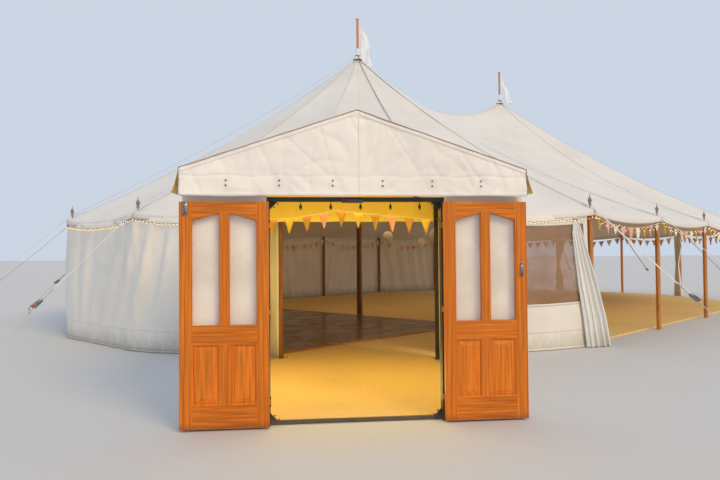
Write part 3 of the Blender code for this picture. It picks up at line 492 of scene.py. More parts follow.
def board_finish(name, shade, width):
    """Lacquered boards laid along the tent, each of its own tone."""
    floor = Finish(name, Coat_Roughness=0.12, Specular_IOR_Level=0.35)
    where = floor.place()
    turned = floor.turned(where, -TENT_TURN)
    across = turned.part("Y") / width
    row = across.floor()
    along = turned.part("X") / (width * 7.5) + row * 0.37
    board = floor.node("ShaderNodeCombineXYZ", {}, {"X": row, "Y": along.floor()})["Vector"]
    tone = floor.node("ShaderNodeTexWhiteNoise", {"noise_dimensions": "2D"}, {"Vector": board})["Value"]
    gap = abs(across % 1.0 - 0.5).ramp(0.470, 0.492) + abs(along % 1.0 - 0.5).ramp(0.494, 0.499)
    grain = floor.noise(turned * (3.0, 60.0, 1.0) + tone * 9.0, 1.0, 8.0, 0.6)
    base = floor.tone(toned(shade, 0.7), toned(shade, 2.1), tone)
    base = base.mix(toned(shade, 0.6), grain.ramp(0.4, 0.75) * 0.6)
    scuffs = floor.noise(where, 2.2, 7.0, 0.7)
    base = base.mix(SCUFFED, scuffs.ramp(0.62, 0.8) * 0.25)
    floor.give("Base Color", base.mix(BOARD_JOINT, gap.ramp(0.0, 1.0)))
    floor.give("Roughness", scuffs.ramp(0.35, 0.75, 0.22, 0.46))
    floor.give("Coat Weight", scuffs.ramp(0.4, 0.7, 0.35, 0.12))
    return floor.bump(1.0 - gap.ramp(0.0, 1.0) + grain * 0.1, 0.0015)


def clear_finish(name, shade, clearness, crease):
    """A clear sheet that is cloudy in places and mirrors what stands before it."""
    sheet = Finish(name, IOR=1.45)
    where = sheet.place()
    haze = sheet.noise(where * (1.2, 1.2, 2.4), 1.4, 5.0, 0.6)
    sheet.give("Base Color", sheet.tone(shade, toned(shade, 0.85), haze.ramp(0.3, 0.7)))
    sheet.give("Alpha", haze.ramp(0.35, 0.75, clearness, min(1.0, clearness + 0.16)))
    sheet.give("Roughness", haze.ramp(0.3, 0.7, 0.05, 0.16))
    return sheet.bump(haze, crease)


def glow_finish(name, shade, strength):
    """Glass of a small bulb, lit by a strength."""
    bulb = Finish(name, 0.2, Emission_Strength=strength)
    where = bulb.place()
    level = bulb.noise(where, 3.0).ramp(0.3, 0.7)
    warm = bulb.tone(shade, toned(shade, 0.75), level)
    bulb.give("Base Color", warm)
    bulb.give("Emission Color", warm)
    return bulb.material


def paper_finish(name, shade):
    """Thin paper on hoops, with a faint painted glow."""
    paper = Finish(name, 0.85, Emission_Strength=0.04)
    where = paper.place()
    hoops = paper.wave(where, 16.0, "Z")
    base = paper.tone(shade, toned(shade, 0.72), hoops.ramp(0.0, 0.25, 1.0, 0.0))
    paper.give("Base Color", base)
    # Painted light: the paper glows faintly though no lamp hangs inside
    paper.give("Emission Color", base)
    return paper.bump(hoops, 0.004)


def studio_finish(name, shade):
    """Plain paint of the studio floor."""
    ground = Finish(name, 0.9)
    where = ground.place()
    ground.give("Base Color", ground.tone(shade, toned(shade, 0.97), ground.noise(where, 0.3)))
    return ground.material


# Making meshes

def between(stations, share, eased=False):
    """The values at a share of the way along stations, counted in stations."""
    k = min(int(share), len(stations) - 2)
    part = share - k
    if eased:
        part = part * part * (3 - 2 * part)
    return [a + (b - a) * part for a, b in zip(stations[k], stations[k + 1])]


def shares(count):
    """Even steps from 0 to 1."""
    return [i / count for i in range(count + 1)]


def hanging(start, end, sag, steps):
    """Points of a line that sags between its two ends."""
    return [start.lerp(end, share) - Vector((0, 0, 4 * sag * share * (1 - share)))
            for share in shares(steps)]


def angles_round(count):
    return [math.tau * k / count for k in range(count)]


class Shape:
    """Points and faces of one piece while it is being made."""

    def __init__(self):
        self.points = []
        self.faces = []
        self.kinds = []
        self.kind = 0

    def face(self, corners):
        self.faces.append(tuple(corners))
        self.kinds.append(self.kind)

    def grid(self, rows, closed=False):
        """A skin over rows of points; closed joins each row's end to its start."""
        start = len(self.points)
        count = len(rows[0])
        for row in rows:
            self.points.extend(Vector(p) for p in row)
        for i in range(len(rows) - 1):
            for j in range(count if closed else count - 1):
                a = start + i * count + j
                b = start + i * count + (j + 1) % count
                self.face((a, b, b + count, a + count))
        return start

    def loop(self, rings):
        """A skin through closed rings whose last is joined to the first."""
        start = self.grid(rings, closed=True)
        count = len(rings[0])
        last = start + count * (len(rings) - 1)
        for j in range(count):
            after = (j + 1) % count
            self.face((last + j, last + after, start + after, start + j))

    def loft(self, rings):
        """A closed solid through closed rings."""
        start = self.grid(rings, closed=True)
        count = len(rings[0])
        last = start + count * (len(rings) - 1)
        self.face(reversed(range(start, start + count)))
        self.face(range(last, last + count))

    def tube(self, path, radius, sides=8):
        """A round bar along a path; radius is one number or one for each point."""
        path = [Vector(p) for p in path]
        radii = radius if isinstance(radius, (list, tuple)) else [radius] * len(path)
        rings = []
        side = None
        for i, spot in enumerate(path):
            ahead = (path[min(i + 1, len(path) - 1)] - path[max(i - 1, 0)]).normalized()
            if side is None:
                side = ahead.orthogonal().normalized()
            side = (side - ahead * side.dot(ahead)).normalized()
            up = ahead.cross(side)
            rings.append([spot + (side * math.cos(a) + up * math.sin(a)) * radii[i]
                          for a in angles_round(sides)])
        self.loft(rings)

    def block(self, low, high, place=Matrix()):
        """A box with its corner edges taken off."""
        low, high = Vector(low), Vector(high)
        cut = min(high - low) * 0.12
        rings = []
        for z, inset in ((low.z, cut), (low.z + cut, 0.0), (high.z - cut, 0.0), (high.z, cut)):
            x0, x1, y0, y1 = low.x + inset, high.x - inset, low.y + inset, high.y - inset
            ring = [(x0 + cut, y0), (x1 - cut, y0), (x1, y0 + cut), (x1, y1 - cut),
                    (x1 - cut, y1), (x0 + cut, y1), (x0, y1 - cut), (x0, y0 + cut)]
            rings.append([place @ Vector((x, y, z)) for x, y in ring])
        self.loft(rings)

    def ball(self, centre, radius, steps=8, stretch=1.0):
        centre = Vector(centre)
        rings = []
        for i in range(1, steps):
            tilt = math.pi * i / steps
            flat, z = radius * math.sin(tilt), -radius * stretch * math.cos(tilt)
            rings.append([centre + Vector((flat * math.cos(a), flat * math.sin(a), z))
                          for a in angles_round(steps + 2)])
        self.loft(rings)

    def ring(self, centre, normal, radius, wire, sides=14, wire_sides=6):
        """A closed ring of round wire."""
        centre, normal = Vector(centre), Vector(normal).normalized()
        side = normal.orthogonal().normalized()
        up = normal.cross(side)
        rows = []
        for a in angles_round(sides):
            out = side * math.cos(a) + up * math.sin(a)
            rows.append([centre + out * (radius + wire * math.cos(b)) + normal * wire * math.sin(b)
                         for b in angles_round(wire_sides)])
        self.loop(rows)

    def turn(self, profile, sides, centre):
        """A solid turned round an upright axis from a profile of (radius, height)."""
        x, y = centre
        self.loft([[(x + r * math.cos(a), y + r * math.sin(a), z) for a in angles_round(sides)]
                   for r, z in profile])

    def object(self, name, finishes, smooth=True):
        mesh = bpy.data.meshes.new(name)
        mesh.from_pydata([tuple(p) for p in self.points], [], self.faces)
        for finish in finishes:
            mesh.materials.append(finish)
        mesh.polygons.foreach_set("material_index", self.kinds)
        mesh.polygons.foreach_set("use_smooth", [smooth] * len(mesh.polygons))
        mesh.update()
        item = bpy.data.objects.new(name, mesh)
        bpy.context.scene.collection.objects.link(item)
        return item

    def piece(self, name, finishes, body="tent", slot=None, smooth=True, thick=0.0, weld=0.0, place=None):
        """The finished object, riding on its body."""
        finishes = finishes if isinstance(finishes, (list, tuple)) else [finishes]
        item = self.object(name, finishes, smooth)
        if weld:
            merge = item.modifiers.new("weld", "WELD")
            merge.merge_threshold = weld
        if thick:
            solid = item.modifiers.new("cloth", "SOLIDIFY")
            solid.thickness = thick
            solid.offset = 0.0
            solid.material_offset = len(finishes) - 1
        if place:
            item.matrix_world = place
        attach(item, body)
        return item


def cloth_area(rows):
    """Area of the skin over rows of points."""
    total = 0.0
    for row, after in zip(rows, rows[1:]):
        for a, b, c, d in zip(row, row[1:], after, after[1:]):
            total += ((b - a).cross(c - a)).length / 2 + ((d - b).cross(c - b)).length / 2
    return total


def hung_cloth(name, rows, finish, width, held, rests_on, stands_for=None, with_pieces=(), **looks):
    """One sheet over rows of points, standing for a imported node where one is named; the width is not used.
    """
    shape = Shape()
    shape.grid(rows)
    item = shape.piece(name, finish, **{"slot": "wall_fabric", "thick": 0.002, **looks})
    if stands_for:
        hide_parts(stands_for)
    cloth_area(rows)


def flat_finish(node_name, finish):
    """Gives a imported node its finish."""
    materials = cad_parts[node_name].data.materials
    materials.clear()
    materials.append(finish)


# Plan and canvas

def in_frame(along, across):
    """From the tent's plan, along its ridge and across it, to where it stands."""
    c, s = math.cos(TENT_TURN), math.sin(TENT_TURN)
    return Vector((along * c + across * s, along * s - across * c, 0.0))


def to_plan(x, y):
    c, s = math.cos(TENT_TURN), math.sin(TENT_TURN)
    return x * c + y * s, x * s - y * c


def faces_out(way, spot):
    """Level direction square to a way, out of the tent at a spot."""
    out = Vector((way.y, -way.x, 0.0))
    return -out if out.dot(spot - in_frame(KING_SPACING / 2, 0.0)) < 0 else out


def end_corner(end, k, out=0.0):
    angle = math.pi / 2 + HALF_BAY * (2 * k + 1)
    reach = POLE_CIRCLE + out / math.cos(HALF_BAY)
    along, across = reach * math.cos(angle), reach * math.sin(angle)
    return (along if end == 0 else KING_SPACING - along, across)


def side_corner(j, side, out=0.0):
    k = 0 if side > 0 else END_BAYS - 1
    first, last = end_corner(0, k, out)[0], end_corner(1, k, out)[0]
    return (first + (last - first) * j / SIDE_BAYS, side * (APOTHEM + out))


def ring_places():
    """All side poles in order: front end, far side, back end and near side."""
    front = [("end", 0, k) for k in range(END_BAYS)]
    far = [("side", j, -1) for j in range(1, SIDE_BAYS)]
    back = [("end", 1, k) for k in reversed(range(END_BAYS))]
    near = [("side", j, 1) for j in reversed(range(1, SIDE_BAYS))]
    return front + far + back + near


def plan_of(key, out=0.0):
    kind, a, b = key
    return end_corner(a, b, out) if kind == "end" else side_corner(a, b, out)


def place(key, out=0.0, height=0.0):
    spot = in_frame(*plan_of(key, out))
    return Vector((spot.x, spot.y, height))


def outward(key):
    """The angle at which a pole's guy runs out."""
    step = in_frame(0.0, key[2]) if key[0] == "side" else place(key, 1.0) - place(key)
    return math.atan2(step.y, step.x)


RING = ring_places()
DOOR_POLES = (1, 2)     # beside the porch, without guys
WALLED_POLES = range(1, 11)  # behind walls, seen only from inside, so painted darker as the shade in the tent
SHADED_HIP_ROPES = (0, 1)      # ropes painted dark for the shade along their hips


def side_share(along):
    """Where a place along a straight side lies between the two poles of its bay, from -1 to 1."""
    first, last = end_corner(0, 0)[0], end_corner(1, 0)[0]
    part = (along - first) / (last - first) * SIDE_BAYS
    return 2 * (part - math.floor(part)) - 1


def round_end(along, across):
    """For a plan point past a king pole: place along, angle from the middle of its bay, and the bay."""
    local = along if along < 0 else KING_SPACING - along
    angle = math.atan2(across, local) % math.tau
    k = round((angle - math.pi / 2) / (2 * HALF_BAY))
    return local, angle - (math.pi / 2 + 2 * HALF_BAY * k), k


def bay_share(along, across):
    """Where a plan point lies between the two poles of its bay, from -1 to 1."""
    if 0.0 <= along <= KING_SPACING:
        return side_share(along)
    local, off, k = round_end(along, across)
    if k in (0, END_BAYS):
        return side_share(local / abs(across) * APOTHEM if across else 0.0)
    return max(-1.0, min(1.0, math.tan(off) / math.tan(HALF_BAY)))


def eave_distance(along, across):
    """From the ridge out to the eave, in the direction of a plan point, before the scallops."""
    if 0.0 <= along <= KING_SPACING:
        return APOTHEM + EAVE_REACH
    return (APOTHEM + EAVE_REACH) / math.cos(round_end(along, across)[1])


def bay_bow(along, across):
    return 1 - bay_share(along, across) ** 2


def crest(along):
    share = max(0.0, min(1.0, along / KING_SPACING))
    return PEAK_HEIGHT - 4 * RIDGE_SAG * share * (1 - share)


def canvas_height(along, across):
    """Height of the canvas over a plan point."""
    if 0.0 <= along <= KING_SPACING:
        reach = abs(across)
    else:
        local = along if along < 0 else along - KING_SPACING
        reach = math.hypot(local, across)
    share = min(1.0, reach / eave_distance(along, across))
    top = crest(along)
    height = top - (top - EAVE_TOP) * share - 4 * HIP_SAG * share * (1 - share)
    bow = bay_bow(along, across)
    return height - sizes().eave_droop * bow * share ** 3 - 0.05 * bow * share * (1 - share)


def canvas_xy(x, y):
    return canvas_height(*to_plan(x, y))


def ripple(spot, share):
    """The canvas's slight unevenness, none at the peak and the eave."""
    return noise.noise(spot * 0.9) * 0.018 * math.sin(math.pi * share)


# Roof

class MARQUEE_OT_roof(bpy.types.Operator):
    """One sheet of canvas over both king poles, with its eave band, seams and hip ropes"""
    bl_idname = "marquee.roof"
    bl_label = "Roof canvas"

    def execute(self, context):
        turns = 12
        at_poles = [math.pi / 2 + HALF_BAY * (2 * k + 1) for k in range(END_BAYS)]
        corners = [math.pi / 2] + at_poles + [1.5 * math.pi]
        angles = []
        for a, b in zip(corners, corners[1:]):
            count = turns if b - a > HALF_BAY * 1.5 else turns // 2
            angles += [a + (b - a) * i / count for i in range(count)]
        angles.append(corners[-1])
        straight = [0.02, 0.04, PEAK_HOLE]
        straight += [PEAK_HOLE + (KING_SPACING - 2 * PEAK_HOLE) * i / 40 for i in range(1, 40)]
        straight += [KING_SPACING - PEAK_HOLE, KING_SPACING - 0.04, KING_SPACING - 0.02]
        stations = [self.end_station(0, a) for a in angles]
        stations += [self.side_station(s, -1) for s in straight]
        stations += [self.end_station(1, a) for a in reversed(angles)]
        stations += [self.side_station(s, 1) for s in reversed(straight)]
        rows = [self.row(station) for station in stations]
        rows.append(rows[0])
        shape = Shape()
        shape.grid(rows)
        canvas = cloth_finish("coated_canvas", tint("canvas"), 0.60, 0.0, 0.010, 0.08)
        roof = shape.piece("roof_canvas", canvas, slot="roof_canvas", thick=0.002, weld=0.0006)
        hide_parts("roof_end_front", "roof_middle", "roof_end_back")
        cloth_area(rows)
        self.seams()
        self.ropes()
        return {"FINISHED"}

    def spread(self, start, end):
        """Distances from start to end, closer together near the start."""
        return [start + (end - start) * share ** 1.1 for share in shares(30)]

    def end_station(self, end, angle):
        """Plan points of a line from a king pole out over a round end."""
        out = (math.cos(angle), math.sin(angle))
        sign = 1 if end == 0 else -1
        base = KING_SPACING * end
        reach = eave_distance(base + sign * out[0] * 3 - sign * 1e-6, out[1] * 3)
        return [(base + sign * out[0] * r, out[1] * r) for r in self.spread(PEAK_HOLE, reach)]

    def side_station(self, along, side):
        """Plan points of a line from the ridge out over a straight side."""
        near = min(along, KING_SPACING - along)
        start = math.sqrt(max(0.0, PEAK_HOLE ** 2 - near ** 2))
        return [(along, side * t) for t in self.spread(start, APOTHEM + EAVE_REACH)]

    def row(self, station):
        """A line of the canvas down to its eave, and the eave band below it."""
        steps = len(station) - 1
        row = []
        for i, (along, across) in enumerate(station):
            spot = in_frame(along, across)
            height = canvas_height(along, across) + ripple(spot, min(1.0, i / steps * 1.02))
            row.append(Vector((spot.x, spot.y, height)))
        inward = row[0] - row[-1]
        inward.z = 0.0
        inward.normalize()
        pull = sizes().eave_scallop * bay_bow(*station[-1])
        row = [point + inward * pull * (i / steps) ** 3 for i, point in enumerate(row)]
        edge = row[-1]
        wander = noise.noise(edge * 2.3) * 0.004
        for down, out in ((0.006, 0.004), (0.030, 0.006), (0.060, 0.007), (0.088, 0.007 + wander)):
            row.append(edge - inward * out - Vector((0, 0, down)))
        return row

    def seams(self):
        """Welded laps down each hip and down the middle of each bay."""
        shape = Shape()
        places = [plan_of(key) for key in RING]
        lines = [(spot, 0.055) for spot in places]
        pairs = zip(places, places[1:] + places[:1])
        lines += [(((a[0] + b[0]) / 2, (a[1] + b[1]) / 2), 0.030) for a, b in pairs]
        for (along, across), width in lines:
            start = Vector((min(max(along, 0.0), KING_SPACING), 0.0))
            way = Vector((along - start.x, across)).normalized()
            beside = Vector((-way.y, way.x))
            half = width / 2
            reach = eave_distance(along, across)
            rows = []
            for i in range(25):
                run = 0.12 + (reach - 0.16) * i / 24
                share = run / reach
                pull = sizes().eave_scallop * bay_bow(along, across) * share ** 3
                back = in_frame(-way.x * pull, -way.y * pull)
                row = []
                for off, lift in ((-half, 0.0), (0.003 - half, 0.002), (half - 0.003, 0.002), (half, 0.0)):
                    p = start + way * run + beside * off
                    spot = in_frame(p.x, p.y)
                    height = canvas_height(p.x, p.y) + ripple(spot, share) + lift + 0.0005
                    row.append(Vector((spot.x + back.x, spot.y + back.y, height)))
                rows.append(row)
            shape.grid(rows)
        lap = cloth_finish("canvas_lap", toned(tint("canvas"), 0.985), 0.6, 0.0, 0.003, 0.08)
        shape.piece("roof_seams", lap, slot="roof_canvas", thick=0.0012)

    def ropes(self):
        """Ropes over the canvas from each king pole to its side poles, and one free of it at each end."""
        shape = Shape()
        radius = sizes().rope_radius
        near, far = 0.014, 0.992
        for i, key in enumerate(RING):
            along, across = plan_of(key)
            base = 0.0 if along < KING_SPACING / 2 else KING_SPACING
            way = Vector((along - base, across))
            path = []
            for j in range(29):
                p = Vector((base, 0.0)) + way * (near + (far - near) * j / 28)
                spot = in_frame(p.x, p.y)
                path.append((spot.x, spot.y, canvas_height(p.x, p.y) + radius + 0.006))
            # Painted shadow: the ropes on the shaded hips are drawn darker and thicker
            on_shaded_hip = i in SHADED_HIP_ROPES
            shape.kind = 1 if on_shaded_hip else 0
            shape.tube(path, radius * 1.4 if on_shaded_hip else radius, 7)
        shape.kind = 0
        for end in (0, 1):
            head = in_frame(KING_SPACING * end, 0.0) + Vector((0.0, 0.0, PEAK_HEIGHT + 0.05))
            foot = place(("end", end, END_BAYS // 2), 0.0, SPIKE_TOP + 0.012)
            flat = Vector((foot.x - head.x, foot.y - head.y, 0.0)).normalized()
            path = hanging(head + flat * 0.05, foot - flat * 0.012, 0.165, 24)
            shape.tube(path, radius * 1.4, 7)
        pale = rope_finish("roof_rope", toned(tint("canvas"), 1.06))
        # Painted shadow line: dark high on the hip, fading into the canvas's colour low down
        dull = rope_finish("weathered_rope", toned(tint("rope"), 0.42), tint("canvas"))
        shape.piece("roof_ropes", [pale, dull], slot="guy_webbing")


class MARQUEE_OT_king_poles(bpy.types.Operator):
    """King poles with a white sleeve and lashing at the peak, and a limp pennant at the head"""
    bl_idname = "marquee.king_poles"
    bl_label = "King poles and pennants"

    # From the sleeve's foot up: height and radius
    sleeve_profile = ((0.0, 0.120), (0.030, 0.086), (0.062, 0.066), (0.085, 0.060), (0.100, 0.042),
                      (0.112, 0.0365), (0.19, 0.0350), (0.270, 0.0345), (0.2795, 0.0340), (0.280, 0.0318))
    # From the head down: height, and how far a pennant's two edges hang from the pole's middle
    front_edges = ((7.19, 0.034, 0.050), (7.03, 0.043, 0.165), (6.87, 0.050, 0.275), (6.70, 0.068, 0.300),
                   (6.62, 0.078, 0.262), (6.45, 0.090, 0.290), (6.31, 0.103, 0.325), (6.17, 0.136, 0.372))
    back_edges = ((7.25, 0.036, 0.062), (6.93, 0.060, 0.155), (6.79, 0.120, 0.275), (6.73, 0.145, 0.305),
                  (6.68, 0.180, 0.285), (6.57, 0.195, 0.310), (6.35, 0.265, 0.400))

    def execute(self, context):
        # Below the eave the king poles stand in the tent's shade, painted in as a darker colour; above it
        # they keep the plain pole colour
        wood = pole_finish("king_pole_wood", toned(tint("pole"), 0.45), tint("pole"), 9.0)
        cloth = plain_cloth_finish("sleeve_cloth", tint("white"))
        dull = rope_finish("lashing_rope", toned(tint("rope"), 0.30))
        thin = plain_cloth_finish("pennant_cloth", tint("pennant"))
        for end, name in enumerate(("front", "back")):
            flat_finish(f"king_pole_{name}", wood)
            spot = in_frame(KING_SPACING * end, 0.0)
            self.sleeve(name, spot, cloth)
            self.lashing(name, spot, dull)
        self.pennant("front", in_frame(0.0, 0.0), thin, self.front_edges)
        self.pennant("back", in_frame(KING_SPACING, 0.0), thin, self.back_edges)
        return {"FINISHED"}

    def sleeve(self, name, spot, cloth):
        rings = []
        for z, r in self.sleeve_profile:
            ring = []
            for a in angles_round(40):
                pleated = r + 0.0022 * math.sin(9 * a + 20 * z) * max(0.0, 1 - z / 0.22)
                ring.append((spot.x + pleated * math.cos(a), spot.y + pleated * math.sin(a), SLEEVE_FOOT + z))
            rings.append(ring)
        shape = Shape()
        shape.grid(rings, closed=True)
        shape.piece(f"peak_sleeve_{name}", cloth, slot="roof_canvas", thick=0.0012)

    def lashing(self, name, spot, rope):
        """Three turns of rope round the sleeve, with a knot and two ends in front."""
        at = Matrix.Translation((spot.x, spot.y, SLEEVE_FOOT))
        shape = Shape()
        for i in range(3):
            tilt = 0.06 * (-1) ** i
            shape.ring(at @ Vector((0.0, 0.0, 0.074 + 0.012 * i)), (tilt, 0.05, 1.0), 0.058, 0.0065, 24, 6)
        shape.ball(at @ Vector((0.016, -0.062, 0.085)), 0.019, 6)
        for side in (-1, 1):
            end = ((0.016, -0.070, 0.08), (0.025 + 0.015 * side, -0.095, 0.03),
                   (0.030 + 0.030 * side, -0.120, -0.030))
            shape.tube([at @ Vector(p) for p in end], 0.0055, 6)
        shape.piece(f"peak_lashing_{name}", rope, slot="guy_webbing")

    def pennant(self, name, spot, cloth, edges):
        """A limp flag between its two edges."""
        deep = sizes().pennant_fold
        rows = []
        for i in range(49):
            share = i / 48 * (len(edges) - 1)
            z, near, far = between(edges, share)
            wide = (far - near) / 0.2
            row = []
            for part in shares(20):
                fold = math.sin(1.8 * math.pi * part + 1.1 * share)
                fold += 0.1 * math.sin(7.0 * math.pi * part + share)
                x = spot.x + near + (far - near) * part + 0.006 * math.sin(9 * part + 4 * share)
                y = spot.y - 0.02 + deep * min(1.0, wide) * fold
                row.append(Vector((x, y, z - 0.03 * part * wide * math.sin(math.pi * i / 48))))
            rows.append(row)
        hung_cloth(f"pennant_{name}", rows, cloth, 0.30, "hung", [f"king_pole_{name}"], slot="roof_canvas",
                   thick=0.0015)


class MARQUEE_OT_side_poles(bpy.types.Operator):
    """Varnished side poles with weathered finials"""
    bl_idname = "marquee.side_poles"
    bl_label = "Side poles"

    def execute(self, context):
        wood = pole_finish("side_pole_wood", tint("pole"), tint("finial"))
        # Poles behind the walls get a darker colour that paints the shade inside the tent
        shaded_wood = pole_finish("stained_pole_wood", toned(tint("pole"), 0.45), tint("finial"))
        for i in range(len(RING)):
            flat_finish(f"side_pole_{i + 1:02d}", shaded_wood if i in WALLED_POLES else wood)
        return {"FINISHED"}


class MARQUEE_OT_guys(bpy.types.Operator):
    """Guys: webbing looped on the pole's spike, a ratchet, a rope and a steel stake"""
    bl_idname = "marquee.guys"
    bl_label = "Guys"

    def execute(self, context):
        web = webbing_finish("guy_webbing", tint("webbing"))
        red = painted_finish("ratchet_paint", tint("ratchet"), 0.4, (0.25, 0.24, 0.23))
        steel = steel_finish("galvanised_steel", tint("steel"))
        rope = rope_finish("guy_rope", tint("rope"))
        top, foot = Vector((0.015, 0.0, SPIKE_TOP - 0.010)), Vector(GUY_FOOT)
        run = foot - top
        along_guy = Matrix.Translation(top) @ Matrix.Rotation(math.atan2(-run.z, run.x), 4, "Y")
        middle = run.length * 0.66
        shape = Shape()
        self.webbing(shape, along_guy, middle)
        self.ratchet(shape, along_guy, middle)
        self.rope(shape, along_guy @ Vector((middle + 0.062, 0.0, 0.0)), run.normalized())
        shape.kind = 2
        shape.tube([(2.5005, 0.0, 0.001), (2.529, 0.0, 0.150)], 0.0125, 12)
        shape.tube([(2.5282, 0.0, 0.148), (2.5298, 0.0, 0.160)], 0.019, 12)
        finishes = [web, red, steel, rope]
        for i, key in enumerate(RING):
            if i in DOOR_POLES:
                continue
            where = Matrix.Translation(place(key)) @ Matrix.Rotation(outward(key), 4, "Z")
            item = shape.piece(f"guy_line_{i + 1:02d}", finishes, slot="guy_webbing", place=where)
            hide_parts(f"guy_{i + 1:02d}")
        return {"FINISHED"}

    def strap(self, shape, along_guy, stations):
        """A strap from (distance along the guy, half width, height, half thickness)."""
        outline = ((-1, -0.6), (-0.9, -1), (0.9, -1), (1, -0.6), (1, 0.6), (0.9, 1), (-0.9, 1), (-1, 0.6))
        shape.loft([[along_guy @ Vector((x, y * w, h + z * t)) for y, z in outline]
                    for x, w, h, t in stations])

    def webbing(self, shape, along_guy, middle):
        """The strap from the pole's spike to the ratchet, its ring and its doubled end."""
        shape.kind = 0
        loop = [(0.000, 0.014, 0.0, 0.0035), (0.08, 0.016, 0.0, 0.0035), (0.20, 0.0245, 0.0, 0.0030),
                (0.24, 0.0248, 0.0, 0.0016)]
        sagging = [(0.24 + (middle - 0.26) * i / 12, 0.0248, -0.012 * math.sin(math.pi * i / 12), 0.0015)
                   for i in range(1, 13)]
        self.strap(shape, along_guy, loop + sagging)
        shape.ring((0.0, 0.0, SPIKE_TOP - 0.010), (0.0, 0.0, 1.0), 0.0145, 0.0035, 18, 6)
        doubled = ((-0.30, 0.010), (-0.15, 0.007), (-0.02, 0.006))
        self.strap(shape, along_guy, [(middle + x, 0.023, height, 0.0014) for x, height in doubled])

    def ratchet(self, shape, along_guy, middle):
        """Two cheeks on three pins, and a handle with its painted grip."""
        shape.kind = 2
        for side in (-1, 1):
            y = side * 0.029
            shape.block((middle - 0.075, y - 0.0018, -0.018), (middle + 0.075, y + 0.0018, 0.018), along_guy)
        for x, radius in ((-0.02, 0.013), (0.062, 0.005), (-0.066, 0.005)):
            shape.tube([along_guy @ Vector((middle + x, y, 0.0)) for y in (-0.034, 0.034)], radius, 12)
        shape.kind = 1
        lifted = Matrix.Rotation(math.radians(-9), 4, "Y")
        handle = along_guy @ Matrix.Translation((middle - 0.02, 0.0, 0.0)) @ lifted
        shape.block((0.075, -0.030, 0.010), (0.112, 0.030, 0.028), handle)
        shape.kind = 2
        for side in (-1, 1):
            y = side * 0.034
            shape.block((-0.02, y - 0.002, 0.004), (0.080, y + 0.002, 0.024), handle)

    def rope(self, shape, start, way):
        """The rope from the ratchet to the stake, with a knot at each end and three turns round the stake."""
        shape.kind = 3
        end = Vector((2.515, 0.0, 0.126))
        dip = Vector((0, 0, 0.004))
        shape.tube([start, start.lerp(end, 0.3) - dip, start.lerp(end, 0.7) - dip, end], 0.0065, 8)
        shape.ball(start + way * 0.05, 0.016, 6)
        shape.ball(end - way * 0.09, 0.017, 6)
        for i in range(3):
            shape.ring((2.521 + 0.002 * i, 0.0, 0.118 + 0.012 * i), (0.12, 0.0, 1.0), 0.016, 0.0062, 16, 6)


# Walls

def wall_path(keys):
    """Steps along a wall: place, outward direction, share of the bay and run from the wall's start."""
    spots = [place(key, WALL_LINE) for key in keys]
    lengths = [(b - a).length for a, b in zip(spots, spots[1:])]
    total = sum(lengths)
    count = max(12, int(total / 0.035))
    path = []
    for i in range(count + 1):
        run = total * i / count
        k = 0
        while k < len(lengths) - 1 and run > lengths[k]:
            run -= lengths[k]
            k += 1
        way = (spots[k + 1] - spots[k]).normalized()
        path.append((spots[k] + way * run, faces_out(way, spots[k]), run / lengths[k], total * i / count))
    return path


def wall_rows(keys, seed, depth, pitch, rows_up=26):
    """Rows of points, from the ground up, of a hung wall that follows some side poles."""
    path = wall_path(keys)
    total = path[-1][3]
    rows = []
    for share in shares(rows_up):
        row = []
        for spot, out, part, run in path:
            top = min(WALL_TOP, canvas_xy(spot.x, spot.y) - 0.030)
            z = WALL_FOOT + (top - WALL_FOOT) * share
            slant = 0.46 * (1 - share) * math.sin(run * 0.9 + seed)
            phase = (run + slant) / pitch * math.tau
            phase += 6.4 * noise.noise(Vector((run * 0.6, seed, share * 0.6)))
            wide = 0.55 + 0.95 * noise.noise(Vector((run * 0.9, seed * 3.1, 4.0 + share * 0.7)))
            hold = min(1.0, (1 - share) * 3.2) + 0.10
            hold *= 1 - 0.42 * (1 + math.sin(run * 1.3 + seed * 1.7)) * (1 - share)
            fold = (math.sin(phase) + 0.30 * math.sin(2.3 * phase + seed)) * wide * depth * hold
            near = min(part, 1 - part)
            pull = 0.016 * math.sin((near * 9.0 - share * 3.0) * math.tau * 0.6)
            pull = pull * math.exp(-near * 5.0) * share
            belly = 0.026 * math.sin(math.pi * part) * math.sin(math.pi * share) + 0.006 * (1 - share)
            crumple = 0.010 * noise.noise(Vector((run * 5.0, seed, z * 4.6)))
            crumple += 0.018 * noise.noise(Vector((run * 1.6 + z, seed, z * 2.1)))
            off = max(-0.022, min(0.088, fold * 0.8 + belly + pull + crumple))
            if z > EAVE_TOP - 0.11:
                off = min(off, 0.0)
            off *= min(1.0, run / 0.22, (total - run) / 0.22)
            row.append(Vector((spot.x + out.x * off, spot.y + out.y * off, z)))
        rows.append(row)
    return rows


def hem_strips(shape, rows, lift):
    """Sewn bands along a wall's foot and above its ground flap, a little proud of its outer side."""
    foot, top = rows[0][0].z, rows[-1][0].z
    for height, width in ((0.02, 0.030), (0.30, 0.018)):
        k = max(0, min(len(rows) - 2, round((height - foot) / (top - foot) * (len(rows) - 1))))
        base, above = rows[k], rows[k + 1]
        strip = [[], []]
        for i, point in enumerate(base):
            ahead = base[min(i + 1, len(base) - 1)] - base[max(i - 1, 0)]
            proud = point + faces_out(ahead, point).normalized() * lift
            slope = (above[i] - point) / max(1e-6, above[i].z - point.z)
            strip[0].append(proud)
            strip[1].append(proud + slope * width)
        shape.grid(strip)


